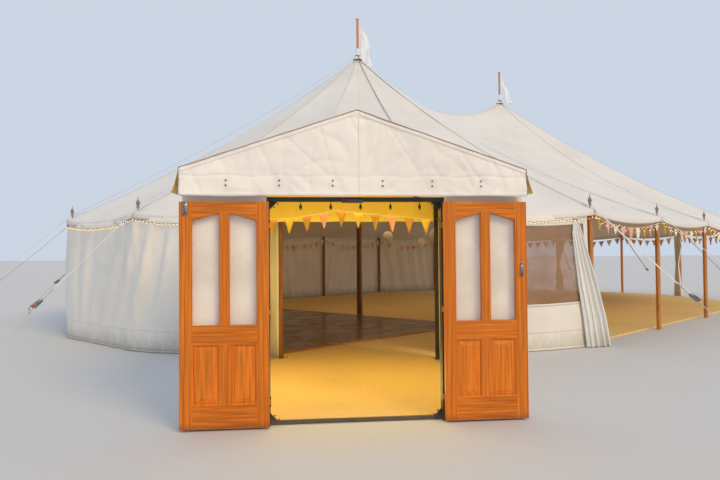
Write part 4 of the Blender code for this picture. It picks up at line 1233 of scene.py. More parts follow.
class MARQUEE_OT_walls(bpy.types.Operator):
    """Walls that hang in soft folds from the eave, with a ground flap sewn along the foot"""
    bl_idname = "marquee.walls"
    bl_label = "Walls"

    def execute(self, context):
        cloth = cloth_finish("wall_cloth", tint("wall"), 0.78, 0.55, 0.008)
        tape = cloth_finish("wall_tape", toned(tint("wall"), 0.98), 0.8, 0.5, 0.002)
        half = END_BAYS // 2
        runs = (("wall_left", RING[2:half + 1], 1.3), ("wall_back_left", RING[half:END_BAYS], 4.1),
                ("wall_back", RING[END_BAYS - 1:END_BAYS + SIDE_BAYS + 1], 7.7))
        for name, keys, seed in runs:
            rows = wall_rows(keys, seed, sizes().fold_depth, sizes().fold_pitch)
            tapes = Shape()
            hem_strips(tapes, rows, 0.002)
            band = tapes.piece(f"{name}_tape", tape, slot="wall_fabric", thick=0.0012)
            hung_cloth(f"{name}_cloth", rows, cloth, WALL_TOP, "hung", ["roof_canvas"], name, [band])
        return {"FINISHED"}


class MARQUEE_OT_window(bpy.types.Operator):
    """The bay with a clear window welded into its wall"""
    bl_idname = "marquee.window"
    bl_label = "Window bay"

    low, high = 0.71, 1.98
    beside = 0.20           # from the pane to the bay's ends
    bare = 0.135            # end of the bay where the gathered wall hangs instead

    def execute(self, context):
        cloth = cloth_finish("window_wall_cloth", tint("wall"), 0.78, 0.45, 0.006)
        clear = clear_finish("clear_window", (0.42, 0.245, 0.14), 0.50, 0.02)
        tape = cloth_finish("window_tape", toned(tint("wall"), 0.92), 0.7, 0.0, 0.002)
        rows = wall_rows(RING[0:2], 2.2, sizes().fold_depth * 0.35, sizes().fold_pitch * 1.6, rows_up=54)
        way = (rows[0][-1] - rows[0][0]).normalized()
        out = faces_out(way, rows[0][0])
        length = (rows[0][-1] - rows[0][0]).length
        steps = len(rows[0]) - 1
        bare = round(self.bare / length * steps)
        first = round(self.beside / length * steps)
        last = steps - first
        start = next(i for i, row in enumerate(rows) if row[0].z >= self.low)
        end = next(i for i, row in enumerate(rows) if row[0].z >= self.high)
        inner = [row[first:last + 1] for row in rows[start:end + 1]]
        wall, pane, trim = Shape(), Shape(), Shape()
        wall.grid([row[bare:] for row in rows[:start + 1]])
        wall.grid([row[bare:] for row in rows[end:]])
        wall.grid([row[bare:first + 1] for row in rows[start:end + 1]])
        wall.grid([row[last:] for row in rows[start:end + 1]])
        loose = self.pane_rows(inner, out)
        pane.grid(loose)
        columns = list(zip(*inner))
        up = Vector((0, 0, 1))
        for line, across in ((inner[0], up), (inner[-1], up), (columns[0], way), (columns[-1], way)):
            trim.grid([[p + out * lift + across * off for p in line]
                       for off, lift in ((-0.018, 0.005), (0.0, 0.008), (0.018, 0.005))])
        hem_strips(trim, rows, 0.003)
        area = cloth_area([row[bare:] for row in rows]) - cloth_area(inner)
        band = trim.piece("window_tape", tape, slot="wall_fabric", thick=0.0015)
        sheet = wall.piece("wall_window_cloth", cloth, slot="wall_fabric", thick=0.002, weld=0.0005)
        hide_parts("wall_window")
        window = pane.piece("window_clear_sheet", clear, slot="clear_sheet", thick=0.001)
        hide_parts("window_pane")
        cloth_area(loose)
        return {"FINISHED"}

    def pane_rows(self, inner, out):
        """The clear sheet, with two creases across it and a slight swell."""
        rows = []
        for i, row in enumerate(inner):
            share = i / (len(inner) - 1)
            crease = 0.010 * math.exp(-((share - 0.78) / 0.02) ** 2)
            crease += 0.006 * math.exp(-((share - 0.4) / 0.03) ** 2)
            line = []
            for j, point in enumerate(row):
                swell = 0.012 * math.sin(math.pi * share) * math.sin(math.pi * j / (len(row) - 1))
                line.append(point + out * (crease + swell + 0.004 * noise.noise(point * 2.0) - 0.004))
            rows.append(line)
        return rows


def gathered_rows(stations, way, out, base, folds, seed):
    """Rows of a bunched cloth from (height, middle along way, half width, middle along out, depth)."""
    rows = []
    for i in range(41):
        z, mid, half, off, deep = between(stations, i / 40 * (len(stations) - 1), eased=True)
        row = []
        for u in shares(72):
            phase = math.tau * folds * u + seed + 0.9 * noise.noise(Vector((u * 3.0, seed, i * 0.04)))
            along = mid + (2 * u - 1) * half + 0.14 * half * math.sin(2 * phase)
            proud = off + deep * math.sin(phase) * (0.75 + 0.25 * math.sin(5.1 * u + seed))
            row.append(base + way * along + out * proud + Vector((0.0, 0.0, z)))
        rows.append(row)
    return rows


class MARQUEE_OT_gathered_wall(bpy.types.Operator):
    """The loose end of a wall, gathered by the first open bay, and two curtains at the far end"""
    bl_idname = "marquee.gathered_wall"
    bl_label = "Gathered wall ends"

    # From the top down, as gathered_rows takes them
    wall_end = ((2.09, 0.385, 0.026, 0.085, 0.014), (1.80, 0.365, 0.085, 0.105, 0.034),
                (1.40, 0.285, 0.125, 0.120, 0.046), (0.95, 0.180, 0.165, 0.135, 0.056),
                (0.45, 0.060, 0.190, 0.145, 0.060), (WALL_FOOT, -0.010, 0.205, 0.150, 0.062))
    curtain = ((2.16, 0.03, 0.09, 0.10, 0.020), (1.75, 0.10, 0.15, 0.10, 0.035),
               (1.10, 0.02, 0.055, 0.09, 0.030), (0.60, 0.05, 0.11, 0.10, 0.040),
               (0.035, 0.08, 0.16, 0.11, 0.045))

    def execute(self, context):
        cloth = cloth_finish("gathered_cloth", tint("white"), 0.75, 0.25, 0.004, 0.3)
        pole = place(RING[0])
        way = (place(RING[1]) - pole).normalized()
        out = faces_out(way, pole)
        rows = gathered_rows(self.wall_end, way, out, pole, 3.5, 0.7)
        hung_cloth("wall_end_gathered", rows, cloth, 2.12, "gathered", ["roof_canvas"], "wall_gather")
        tie = Shape()
        knot = pole + way * 0.384 + out * 0.086 + Vector((0, 0, 2.055))
        tie.ring(knot, (0.1, 0.0, 1.0), 0.034, 0.005, 20, 6)
        tie.piece("wall_end_tie", rope_finish("tie_cord", tint("white")), slot="guy_webbing")
        for name, k, seed in (("far_curtain_one", 4, 0.6), ("far_curtain_two", 2, 2.0)):
            pole = place(("end", 1, k), -0.03)
            inward = (in_frame(KING_SPACING, 0.0) - pole).normalized()
            way = Vector((-inward.y, inward.x, 0.0))
            rows = gathered_rows(self.curtain, way, inward, pole, 6, seed)
            hung_cloth(name, rows, cloth, 2.2, "gathered", ["roof_canvas"])
        return {"FINISHED"}


# Porch, made square to X and Y and turned about the middle of its front

PORCH_MIDDLE = Matrix.Translation((PORCH_X, PORCH_FRONT, 0.0))
PORCH_PLACE = PORCH_MIDDLE @ Matrix.Rotation(PORCH_TURN, 4, "Z") @ PORCH_MIDDLE.inverted()


def porch_point(x, y, z=0.0):
    """From the porch's own place, x from its centre line, to where it stands."""
    return PORCH_PLACE @ Vector((PORCH_X + x, y, z))


def slope_height(x):
    return PORCH_RIDGE - (PORCH_RIDGE - PORCH_EAVE) * abs(x) / PORCH_HALF


def porch_over(x, y):
    """Height of the tent's canvas over a point of the porch."""
    spot = porch_point(x, y)
    return canvas_xy(spot.x, spot.y)


def edge_distance(x, y):
    """How far a point of the porch lies outside the eave, less than zero under the canvas."""
    spot = porch_point(x, y)
    along, across = to_plan(spot.x, spot.y)
    return math.hypot(along, across) - eave_distance(along, across)


def last_that(holds, near, far):
    """The furthest place between near and far up to which something holds."""
    for _ in range(40):
        middle = (near + far) / 2
        near, far = (middle, far) if holds(middle) else (near, middle)
    return near


def porch_meets(x, height):
    """Y of the porch at which the tent's canvas has risen to a height."""
    return last_that(lambda y: edge_distance(x, y) > -1.8 and porch_over(x, y) < height, -7.4, -3.5)


def porch_back(x):
    """Y of the porch where its walls and valance stop, clear of the tent's eave."""
    return last_that(lambda y: edge_distance(x, y) > 0.060, PORCH_FRONT, -4.0)


def porch_rear():
    return min(porch_back(PORCH_HALF), porch_back(-PORCH_HALF)) - 0.0003


class MARQUEE_OT_porch_cover(bpy.types.Operator):
    """Gable, roof and side valances of the porch, with piping, eyelets and a yellow lining"""
    bl_idname = "marquee.porch_cover"
    bl_label = "Porch cover"

    def execute(self, context):
        skin = cloth_finish("porch_coated_cloth", tint("porch"), 0.50, 0.0, 0.016, 0.05)
        # The lining, also on the inside of the valances, carries painted warm lamplight in its yellow
        lining = cloth_finish("porch_lining_cloth", tint("lining"), 0.8, 0.0, 0.006)
        rows = self.gable()
        front = Shape()
        front.grid(rows)
        trim = self.hems().piece("porch_gable_hems", skin, slot="porch_skin", thick=0.0015, place=PORCH_PLACE)
        item = front.piece("porch_gable", skin, slot="porch_skin", thick=0.0025, place=PORCH_PLACE)
        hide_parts("porch_cover")
        cloth_area(rows)
        self.cloth("porch_roof_cloth", self.roof_rows(), skin, 3.28, "stretched",
                   ["porch_frame", "roof_canvas"])
        self.cloth("porch_ceiling_cloth", self.ceiling_rows(), lining, 3.1, "stretched", ["porch_frame"])
        self.cloth("porch_rear_lining", self.rear_rows(), lining, 2.9, "hung", ["porch_frame"])
        self.piping()
        self.valances(skin, lining)
        self.eyelets()
        return {"FINISHED"}

    def cloth(self, name, rows, finish, width, held, rests_on):
        hung_cloth(name, rows, finish, width, held, rests_on, slot="porch_skin", place=PORCH_PLACE)

    def piping(self):
        """Cord sewn along the gable's slopes, and a thinner one down its ends."""
        finish = plain_cloth_finish("porch_piping", tint("piping"))
        edge, low, eave = PORCH_HALF + 0.002, FASCIA_LOW + 0.004, PORCH_EAVE + 0.004
        corners = [(-edge, low), (-edge, eave), (0.0, PORCH_RIDGE + 0.005), (edge, eave), (edge, low)]
        shape = Shape()
        for (x0, z0), (x1, z1) in zip(corners, corners[1:]):
            line = [(PORCH_X + x0 + (x1 - x0) * i / 30, FASCIA_Y - 0.003,
                     z0 + (z1 - z0) * i / 30 + 0.003 * noise.noise(Vector((x0 + i * 0.3, 0, 0))))
                    for i in range(31)]
            shape.tube(line, 0.0026 if x0 == x1 else 0.0042, 8)
        shape.piece("porch_piping", finish, slot="porch_skin", place=PORCH_PLACE)

    def slack(self, x, z):
        """How far the gable's cloth stands behind its front plane."""
        share = (z - FASCIA_LOW) / (slope_height(x) - FASCIA_LOW)
        soft = 0.016 * noise.noise(Vector((x * 1.7, z * 3.0, 3.0)))
        soft += 0.009 * noise.noise(Vector((x * 4.6, z * 7.0, 3.0)))
        crease = 0.0
        for k, (fall, size_x) in enumerate(((1.0, 2.6), (-1.0, 2.2), (0.35, 3.4), (-0.5, 4.2))):
            line = noise.noise(Vector(((x + fall * z) * size_x, (z - fall * x) * 1.1, 5.0 + 4 * k)))
            crease += 0.0055 * math.exp(-(line / 0.075) ** 2)
        pull = 0.006 * math.sin(x * 14.0) * (1 - share) ** 2
        swag = 0.005 * math.exp(-((z - 2.175 - 0.018 * abs(math.sin(x * 6.9))) / 0.012) ** 2)
        edge = min(1.0, (1.02 - share) * 9.0)
        return (soft + crease) * edge + pull + swag - 0.004 * (1 - share)

    def gable(self):
        """Rows of the gable's cloth from its foot up to both slopes."""
        rows = []
        for share in shares(60):
            row = []
            for part in shares(240):
                x = PORCH_HALF * (2 * part - 1)
                low = FASCIA_LOW + 0.003 * math.sin(x * 7.0) + 0.002 * noise.noise(Vector((x * 4, 0, 0)))
                z = low + (slope_height(x) + 0.002 - low) * share
                row.append(Vector((PORCH_X + x, FASCIA_Y - 0.002 + self.slack(x, z), z)))
            rows.append(row)
        return rows

    def hems(self):
        """Sewn laps: along the foot, down the middle and along both slopes."""
        shape = Shape()

        def lap(points, width, up):
            rows = []
            for off, lift in ((-0.5, 0.0), (-0.4, 0.0025), (0.4, 0.0025), (0.5, 0.0)):
                row = []
                for x, z in points:
                    x, z = x + up[0] * off * width, z + up[1] * off * width
                    row.append(Vector((PORCH_X + x, FASCIA_Y - 0.0045 + self.slack(x, z) - lift, z)))
                rows.append(row)
            shape.grid(rows)

        side = PORCH_HALF - 0.004
        foot, rise = FASCIA_LOW + 0.020, PORCH_RIDGE - FASCIA_LOW - 0.06
        lap([(side * (2 * part - 1), foot) for part in shares(120)], 0.030, (0, 1))
        lap([(0.02, foot + rise * i / 40) for i in range(41)], 0.014, (1, 0))
        for s in (-1, 1):
            slope = [side * (1 - i / 80) for i in range(80)]
            lap([(s * x, slope_height(x) - 0.024) for x in slope], 0.024, (0, 1))
        return shape

    def roof_rows(self):
        rows = []
        for part in shares(48):
            x = PORCH_HALF * (2 * part - 1)
            end = max(porch_meets(x, slope_height(x)), porch_back(x) + 0.05)
            row = []
            for share in shares(60):
                y = FASCIA_Y + (end - FASCIA_Y) * share
                sag = 0.012 * abs(math.sin(2 * math.pi * share)) * math.sin(math.pi * abs(x) / PORCH_HALF)
                z = slope_height(x) - sag + 0.003 * noise.noise(Vector((x * 2, y * 2, 1.0)))
                if share > 0.9 and edge_distance(x, y) < 0.0:
                    z = max(z, porch_over(x, y) + 0.004)
                row.append(Vector((PORCH_X + x, y, z)))
            rows.append(row)
        return rows

    def ceiling_rows(self):
        rows = []
        start, end = FASCIA_Y + 0.075, porch_rear() - 0.02
        for part in shares(48):
            x = (PORCH_HALF - 0.045) * (2 * part - 1)
            deep = math.sin(math.pi * abs(x) / PORCH_HALF)
            height = slope_height(x) - 0.030
            rows.append([Vector((PORCH_X + x, start + (end - start) * j / 40,
                                 height - 0.02 * abs(math.sin(math.pi * j / 10)) * deep)) for j in range(41)])
        return rows

    def rear_rows(self):
        """The lining that closes the porch's back above its header."""
        back = porch_rear() - FRAME - 0.012
        rows = []
        for r in range(13):
            row = []
            for part in shares(96):
                x = (PORCH_HALF - 0.09) * (2 * part - 1)
                low, high = HEADER_LOW - 0.004 + 0.004 * math.sin(x * 9.0), slope_height(x) - 0.055
                y = back + 0.010 * math.sin(x * 24.0 + 3.0 * r / 12) * (0.3 + r / 24)
                row.append(Vector((PORCH_X + x, y, low + (high - low) * r / 12)))
            rows.append(row)
        return rows

    def valances(self, skin, lining):
        """A flap down each eave that flares out at the gable."""
        for name, side in (("left", -1), ("right", 1)):
            back = porch_back(side * PORCH_HALF) + 0.055
            rows = []
            for share in shares(10):
                row = []
                for run in shares(80):
                    part = run ** 1.6
                    y = FASCIA_Y + 0.002 + (back - FASCIA_Y) * part
                    flare = 0.062 * math.exp(-part * 11.0) * share ** 1.3
                    wave = 0.010 * math.sin(part * 38.0) * share
                    wave += 0.006 * noise.noise(Vector((part * 9.0, share * 2, side)))
                    x = side * (PORCH_HALF + 0.002 + flare + max(-0.002, wave) * min(1.0, part * 20.0))
                    z = PORCH_EAVE - (PORCH_EAVE - VALANCE_LOW) * share + 0.012 * flare
                    row.append(Vector((PORCH_X + x, y, z)))
                rows.append(row)
            if side > 0:
                rows = rows[::-1]
            self.cloth(f"porch_valance_{name}", rows, [skin, lining], 0.22, "hung", ["porch_roof_cloth"])

    def eyelets(self):
        """Pairs of brass eyelets along the fascia."""
        brass = Finish("eyelet_brass", 0.35)
        where = brass.place()
        brass.give("Metallic", brass.noise(where, 40.0).ramp(0.3, 0.8, 1.0, 0.6))
        brass.give("Base Color", brass.tone((0.50, 0.42, 0.30), (0.26, 0.21, 0.16), brass.noise(where, 60.0)))
        shape = Shape()
        for x in (-1.142, -0.685, -0.218, 0.225, 0.672, 1.117):
            for z in (2.103, 2.147):
                y = FASCIA_Y - 0.007 + self.slack(x, z)
                shape.ring((PORCH_X + x, y - 0.002, z), (0, 1, 0), 0.0068, 0.0022, 16, 6)
                shape.tube([(PORCH_X + x, y + 0.002, z), (PORCH_X + x, y - 0.0008, z)], 0.0054, 12)
        shape.piece("porch_eyelets", brass.material, slot="dark_metal", place=PORCH_PLACE)


class MARQUEE_OT_porch_walls(bpy.types.Operator):
    """Cloth walls of the porch, each with its flat front panel"""
    bl_idname = "marquee.porch_walls"
    bl_label = "Porch walls"

    def execute(self, context):
        cloth = cloth_finish("porch_wall_cloth", tint("porch"), 0.62, 0.35, 0.006)
        height = 2.168 - WALL_FOOT
        for name, side in (("left", -1), ("right", 1)):
            rows = [self.row(side, share, WALL_FOOT + height * share) for share in shares(24)]
            hung_cloth(f"porch_wall_{name}_cloth", rows, cloth, height, "hung", ["porch_frame"],
                       f"porch_wall_{name}", place=PORCH_PLACE)
        return {"FINISHED"}

    def row(self, side, share, z):
        """From the door post out along the flat front panel, then back along the wall's folds."""
        inner, outer = DOOR_HALF + 0.026, PORCH_HALF - 0.018
        front, back = PORCH_FRONT - 0.006, porch_back(side * PORCH_HALF)
        row = [Vector((PORCH_X + side * (inner + (outer - inner) * i / 24), front, z)) for i in range(24)]
        for i in range(111):
            y = front + (back - PORCH_FRONT) * i / 110
            run = y - PORCH_FRONT
            fold = 0.015 * math.sin(run * 13.0 + 0.8 * math.sin(run * 3.1 + side))
            fold *= min(1.0, (1 - share) * 5.0 + 0.1) * min(1.0, run * 4.0 + 0.05)
            fold = max(-0.004, fold + 0.006 * math.sin(math.pi * share))
            row.append(Vector((PORCH_X + side * (outer + fold), y, z)))
        return row


class MARQUEE_OT_porch_frame(bpy.types.Operator):
    """Painted frame of the porch, with its header catch"""
    bl_idname = "marquee.porch_frame"
    bl_label = "Porch frame"

    def execute(self, context):
        paint = painted_finish("porch_frame_paint", tint("metal"), 0.42, (0.13, 0.10, 0.07))
        flat_finish("porch_frame", paint)
        steel = steel_finish("catch_steel", toned(tint("steel"), 0.35))
        catch = Shape()
        low, front = HEADER_LOW + 0.0005, PORCH_FRONT
        catch.block((-0.355, front - 0.022, low - 0.012), (-0.162, front - 0.001, low + 0.020))
        for i in range(9):
            x = -0.347 + 0.0213 * i
            catch.block((x, front - 0.026, low - 0.016), (x + 0.008, front - 0.004, low + 0.004))
        catch.piece("header_catch", steel, slot="dark_metal", smooth=False, place=PORCH_PLACE)
        bolts = Shape()
        for side in (-1, 1):
            for x, z in ((0.735, 1.925), (0.700, 1.955), (0.735, 0.080), (0.700, 0.045)):
                centre = Vector((PORCH_X + side * x, PORCH_FRONT + 0.0545, z))
                bolts.tube([centre, centre + Vector((0, -0.005, 0))], 0.008, 6)
        bolts.piece("gusset_bolts", steel, slot="dark_metal", smooth=False, place=PORCH_PLACE)
        return {"FINISHED"}


class MARQUEE_OT_doors(bpy.types.Operator):
    """Stained doors with glazing beads, raised panels, a bolt and a pull"""
    bl_idname = "marquee.doors"
    bl_label = "Doors"

    # From the edge of a light or panel inwards: inset and lift off the face
    bead_profile = ((0.000, 0.002), (0.004, 0.0025), (0.009, 0.000), (0.013, -0.007), (0.013, -0.011),
                    (0.000, -0.011))
    slim_profile = tuple((inset * 0.35, lift) for inset, lift in bead_profile)
    field_profile = ((0.020, -0.001), (0.022, 0.001), (0.052, 0.008), (0.056, 0.010))

    def execute(self, context):
        glass = clear_finish("door_glass", (0.95, 0.90, 0.81), 0.06, 0.001)
        steel = steel_finish("door_steel", tint("steel"))
        trim = joinery_finish("door_bead_wood", tint("door"))
        for name, body, side in (("door_left", "left_leaf", -1), ("door_right", "right_leaf", 1)):
            flat_finish(name, leaf_finish(f"{name}_wood", tint("door"), side))
            flat_finish(f"{name}_glass", glass)
            self.joinery(name, body, side, trim)
            self.fittings(name, body, side, steel)
        return {"FINISHED"}

    def joinery(self, name, body, side, trim):
        """Beads round each light and a raised field in each panel, on both faces."""
        shape = Shape()
        middle = LEAF_WIDTH / 2
        for edge, near in ((STILE, middle - MUNTIN / 2), (LEAF_WIDTH - STILE, middle + MUNTIN / 2)):
            light = [(edge, LIGHT_LOW), (near, LIGHT_LOW), (near, LIGHT_HIGH),
                     (edge, LIGHT_HIGH - LIGHT_DROP)]
            panel = [(edge, BOTTOM_RAIL), (near, BOTTOM_RAIL), (near, LOCK_RAIL_LOW), (edge, LOCK_RAIL_LOW)]
            for face, turn in ((PORCH_FRONT + LEAF_FACE, -1), (PORCH_FRONT + LEAF_BACK, 1)):
                shape.loop(self.rings(light, side, face - turn * 0.006, turn, self.slim_profile))
                shape.loop(self.rings(panel, side, face - turn * 0.006, turn, self.bead_profile))
                shape.loft(self.rings(panel, side, face - turn * 0.017, turn, self.field_profile))
        shape.piece(f"{name}_mouldings", trim, body=body, slot="door_wood", smooth=False, place=PORCH_PLACE)

    def spot(self, side, x, y, z):
        """From a leaf's own width and height to the open leaf."""
        return (PORCH_X + side * (DOOR_HALF + LEAF_GAP + x), y, LEAF_FOOT + z)

    def rings(self, outline, side, face, turn, profile):
        """The outline drawn in and lifted off a face, once for each step of a profile."""
        cx, cz = sum(p[0] for p in outline) / 4, sum(p[1] for p in outline) / 4
        rings = []
        for inset, lift in profile:
            drawn = [(x + math.copysign(inset, cx - x), z + math.copysign(inset, cz - z))
                     for x, z in outline]
            rings.append([self.spot(side, x, face + turn * lift, z) for x, z in drawn])
        return rings

    def fittings(self, name, body, side, steel):
        """A bolt high on the left leaf, a pull on the right leaf, and the caps of the hinge pins."""
        shape = Shape()
        y = PORCH_FRONT + LEAF_FACE
        if side < 0:
            x = self.spot(side, LEAF_WIDTH - 0.048, 0, 0)[0]
            shape.block((x - 0.020, y - 0.005, 1.845), (x + 0.020, y + 0.001, 1.962))
            for z in (1.880, 1.925):
                shape.block((x - 0.016, y - 0.012, z), (x + 0.016, y - 0.004, z + 0.010))
            shape.tube([(x, y - 0.010, 1.855), (x, y - 0.010, 1.963)], 0.0055, 10)
            shape.tube([(x, y - 0.010, 1.862), (x - 0.002, y - 0.028, 1.862)], 0.004, 8)
            screws = [(x + dx, z) for dx in (-0.013, 0.013) for z in (1.855, 1.953)]
        else:
            x = self.spot(side, LEAF_WIDTH - 0.050, 0, 0)[0]
            shape.block((x - 0.011, y - 0.004, 1.285), (x + 0.011, y + 0.001, 1.420))
            handle = ((0.003, 1.300), (0.034, 1.306), (0.040, 1.325), (0.040, 1.380), (0.034, 1.399),
                      (0.003, 1.405))
            shape.tube([(x, y - proud, z) for proud, z in handle], 0.006, 10)
            screws = [(x, 1.291), (x, 1.414)]
        for x, z in screws:
            shape.ball((x, y - 0.005, z), 0.004, 6)
        for z in (0.238, 1.018, 1.778):
            shape.ball((PORCH_X + side * DOOR_HALF, PORCH_FRONT - 0.020, z), 0.0078, 6)
        shape.piece(f"{name}_fittings", steel, body=body, slot="dark_metal", place=PORCH_PLACE)


class MARQUEE_OT_porch_curtain(bpy.types.Operator):
    """A curtain drawn to the left at the back of the porch"""
    bl_idname = "marquee.porch_curtain"
    bl_label = "Porch curtain"

    def execute(self, context):
        cloth = cloth_finish("curtain_cloth", tint("curtain"), 0.8, 0.1, 0.003, 0.3)
        middle = -PORCH_HALF + 2 * PORCH_SKIN + FRAME + 0.236
        base = Vector((PORCH_X, porch_rear() - FRAME / 2, 0.0))
        stations = ((HEADER_LOW + 0.003, middle - 0.010, 0.212, 0.0, 0.018),
                    (1.45, middle + 0.005, 0.226, 0.0, 0.034), (0.80, middle + 0.008, 0.230, 0.0, 0.042),
                    (0.032, middle + 0.008, 0.236, 0.0, 0.046))
        rows = gathered_rows(stations, Vector((1, 0, 0)), Vector((0, 1, 0)), base, 9, 1.1)
        hung_cloth("porch_curtain_cloth", rows, cloth, 1.95, "gathered", ["porch_frame"], "porch_curtain",
                   place=PORCH_PLACE)
        return {"FINISHED"}


class MARQUEE_OT_floor(bpy.types.Operator):
    """Matting and the lacquered dance floor with its edge strip"""
    bl_idname = "marquee.floor"
    bl_label = "Floor"

    # Plan of the dance floor, along the tent and across it
    back, front, half = -0.10, -5.20, 3.40
    # Across the strip: distance from the boards' edge and height
    strip = ((0.001, 0.0283), (0.055, 0.0283), (0.055, 0.031), (0.006, 0.0455), (0.001, 0.0455))

    def execute(self, context):
        flat_finish("floor", matting_finish("ribbed_matting", tint("matting")))
        flat_finish("dance_floor", board_finish("dance_boards", tint("boards"), sizes().board_width))
        edge = joinery_finish("edge_strip_wood", toned(tint("door"), 0.7))
        corners = [Vector((self.back, self.half)), Vector((self.front, self.half)),
                   Vector((self.front, -self.half)), Vector((self.back, -self.half))]
        shape = Shape()
        for a, b in ((corners[2], corners[3]), (corners[0], corners[1]), (corners[1], corners[2])):
            way = (b - a).normalized()
            out = Vector((way.y, -way.x))
            rings = []
            for end in (a - way * 0.05, b + way * 0.05):
                spots = [(in_frame(*(end + out * off)), z) for off, z in self.strip]
                rings.append([(spot.x, spot.y, z) for spot, z in spots])
            shape.loft(rings)
        shape.piece("dance_floor_edge", edge, slot="dark_boards", smooth=False)
        return {"FINISHED"}


# Trimmings

def hang_flags(shape_of, line_shape, start, end, sag, count, facing, flag, order, seed):
    """Flags along a hanging string; shape_of maps a colour's name to the shape it is added to."""
    width, length = flag
    line_shape.tube(hanging(start, end, sag, 40), 0.0022, 5)
    span = (end - start).length
    way = (end - start).normalized()
    half = min(width / 2 / span, 0.5 / count * 0.98)
    for n in range(count):
        swing = 0.35 * noise.noise(Vector((n * 1.7, seed, 0.0)))
        rows = []
        for down in shares(6):
            row = []
            for over in shares(6):
                at = (n + 0.5) / count + (over * 2 - 1) * half * (1 - down)
                p = start.lerp(end, at) - Vector((0, 0, 4 * sag * at * (1 - at)))
                curl = 0.010 * math.sin(3.0 * down + 2.0 * over + n)
                row.append(p - Vector((0, 0, length * down)) +
                           facing * (curl * down * 2 + swing * length * down * 0.5) +
                           way * (0.04 * swing * down * length))
            rows.append(row)
        shape_of[order[n % len(order)]].grid(rows)


class MARQUEE_OT_bunting(bpy.types.Operator):
    """Bunting in the porch, under the open eaves and round the inside of the walls"""
    bl_idname = "marquee.bunting"
    bl_label = "Bunting"

    def execute(self, context):
        flags = {name: Shape() for name in ("gold", "peach", "pink", "white")}
        porch_flags = {name: Shape() for name in ("gold", "yellow", "peach")}
        line, porch_line = Shape(), Shape()
        self.porch_bunting(porch_flags, porch_line)
        wide, long = sizes().flag_width, sizes().flag_length
        self.round_tent(flags, line, range(12, len(RING)), 0.075, 0.05, sizes().flag_sag, (wide, long), 1.45,
                        ("white", "pink", "gold", "white", "peach", "pink"), 2.0)
        self.round_tent(flags, line, range(2, 11), -0.06, 0.0, 0.24, (wide * 0.68, long * 0.83), 1.7,
                        ("pink", "gold", "white", "peach"), 3.0)
        for name in ("gold", "yellow", "peach", "pink", "white"):
            looks = {"slot": "wall_fabric", "thick": 0.0008}
            cloth = plain_cloth_finish(f"{name}_flag_cloth", tint(name))
            if name in flags:
                flags[name].piece(f"bunting_{name}", cloth, **looks)
            if name in porch_flags:
                porch_flags[name].piece(f"porch_bunting_{name}", cloth, place=PORCH_PLACE, **looks)
        cord = plain_cloth_finish("bunting_tape", tint("white"))
        line.piece("bunting_tapes", cord, slot="guy_webbing")
        porch_line.piece("porch_bunting_tape", cord, slot="guy_webbing", place=PORCH_PLACE)
        return {"FINISHED"}

    def porch_bunting(self, flags, line):
        """Two strings of flags across the porch, from its left side and from its right to one point."""
        y = -8.98
        order = ("gold", "yellow", "gold", "peach", "gold", "yellow", "gold", "peach", "gold", "yellow")
        for start, end, sag, count, first in (((-0.873, y, 1.872), (-0.142, y, 1.962), 0.020, 4, 0),
                                              ((-0.142, y, 1.972), (0.954, y, 1.868), 0.004, 6, 4)):
            start, end = (Vector(p) + Vector((PORCH_X, 0, 0)) for p in (start, end))
            hang_flags(flags, line, start, end, sag, count, Vector((0, -1, 0)), (0.108, 0.172),
                       order[first:], float(first))

    def round_tent(self, flags, line, poles, reach, inset, sag, flag, spacing, order, seed):
        """A string in each bay that starts at one of the poles, with as many flags as the spacing allows."""
        for n, i in enumerate(poles):
            start, end = (place(RING[k % len(RING)], reach, 2.100) for k in (i, i + 1))
            way = (end - start).normalized()
            count = int((end - start).length / (flag[0] * spacing))
            facing = Vector((way.y, -way.x, 0.0))
            hang_flags(flags, line, start + way * inset, end - way * inset, sag, count, facing, flag, order,
                       n * seed)


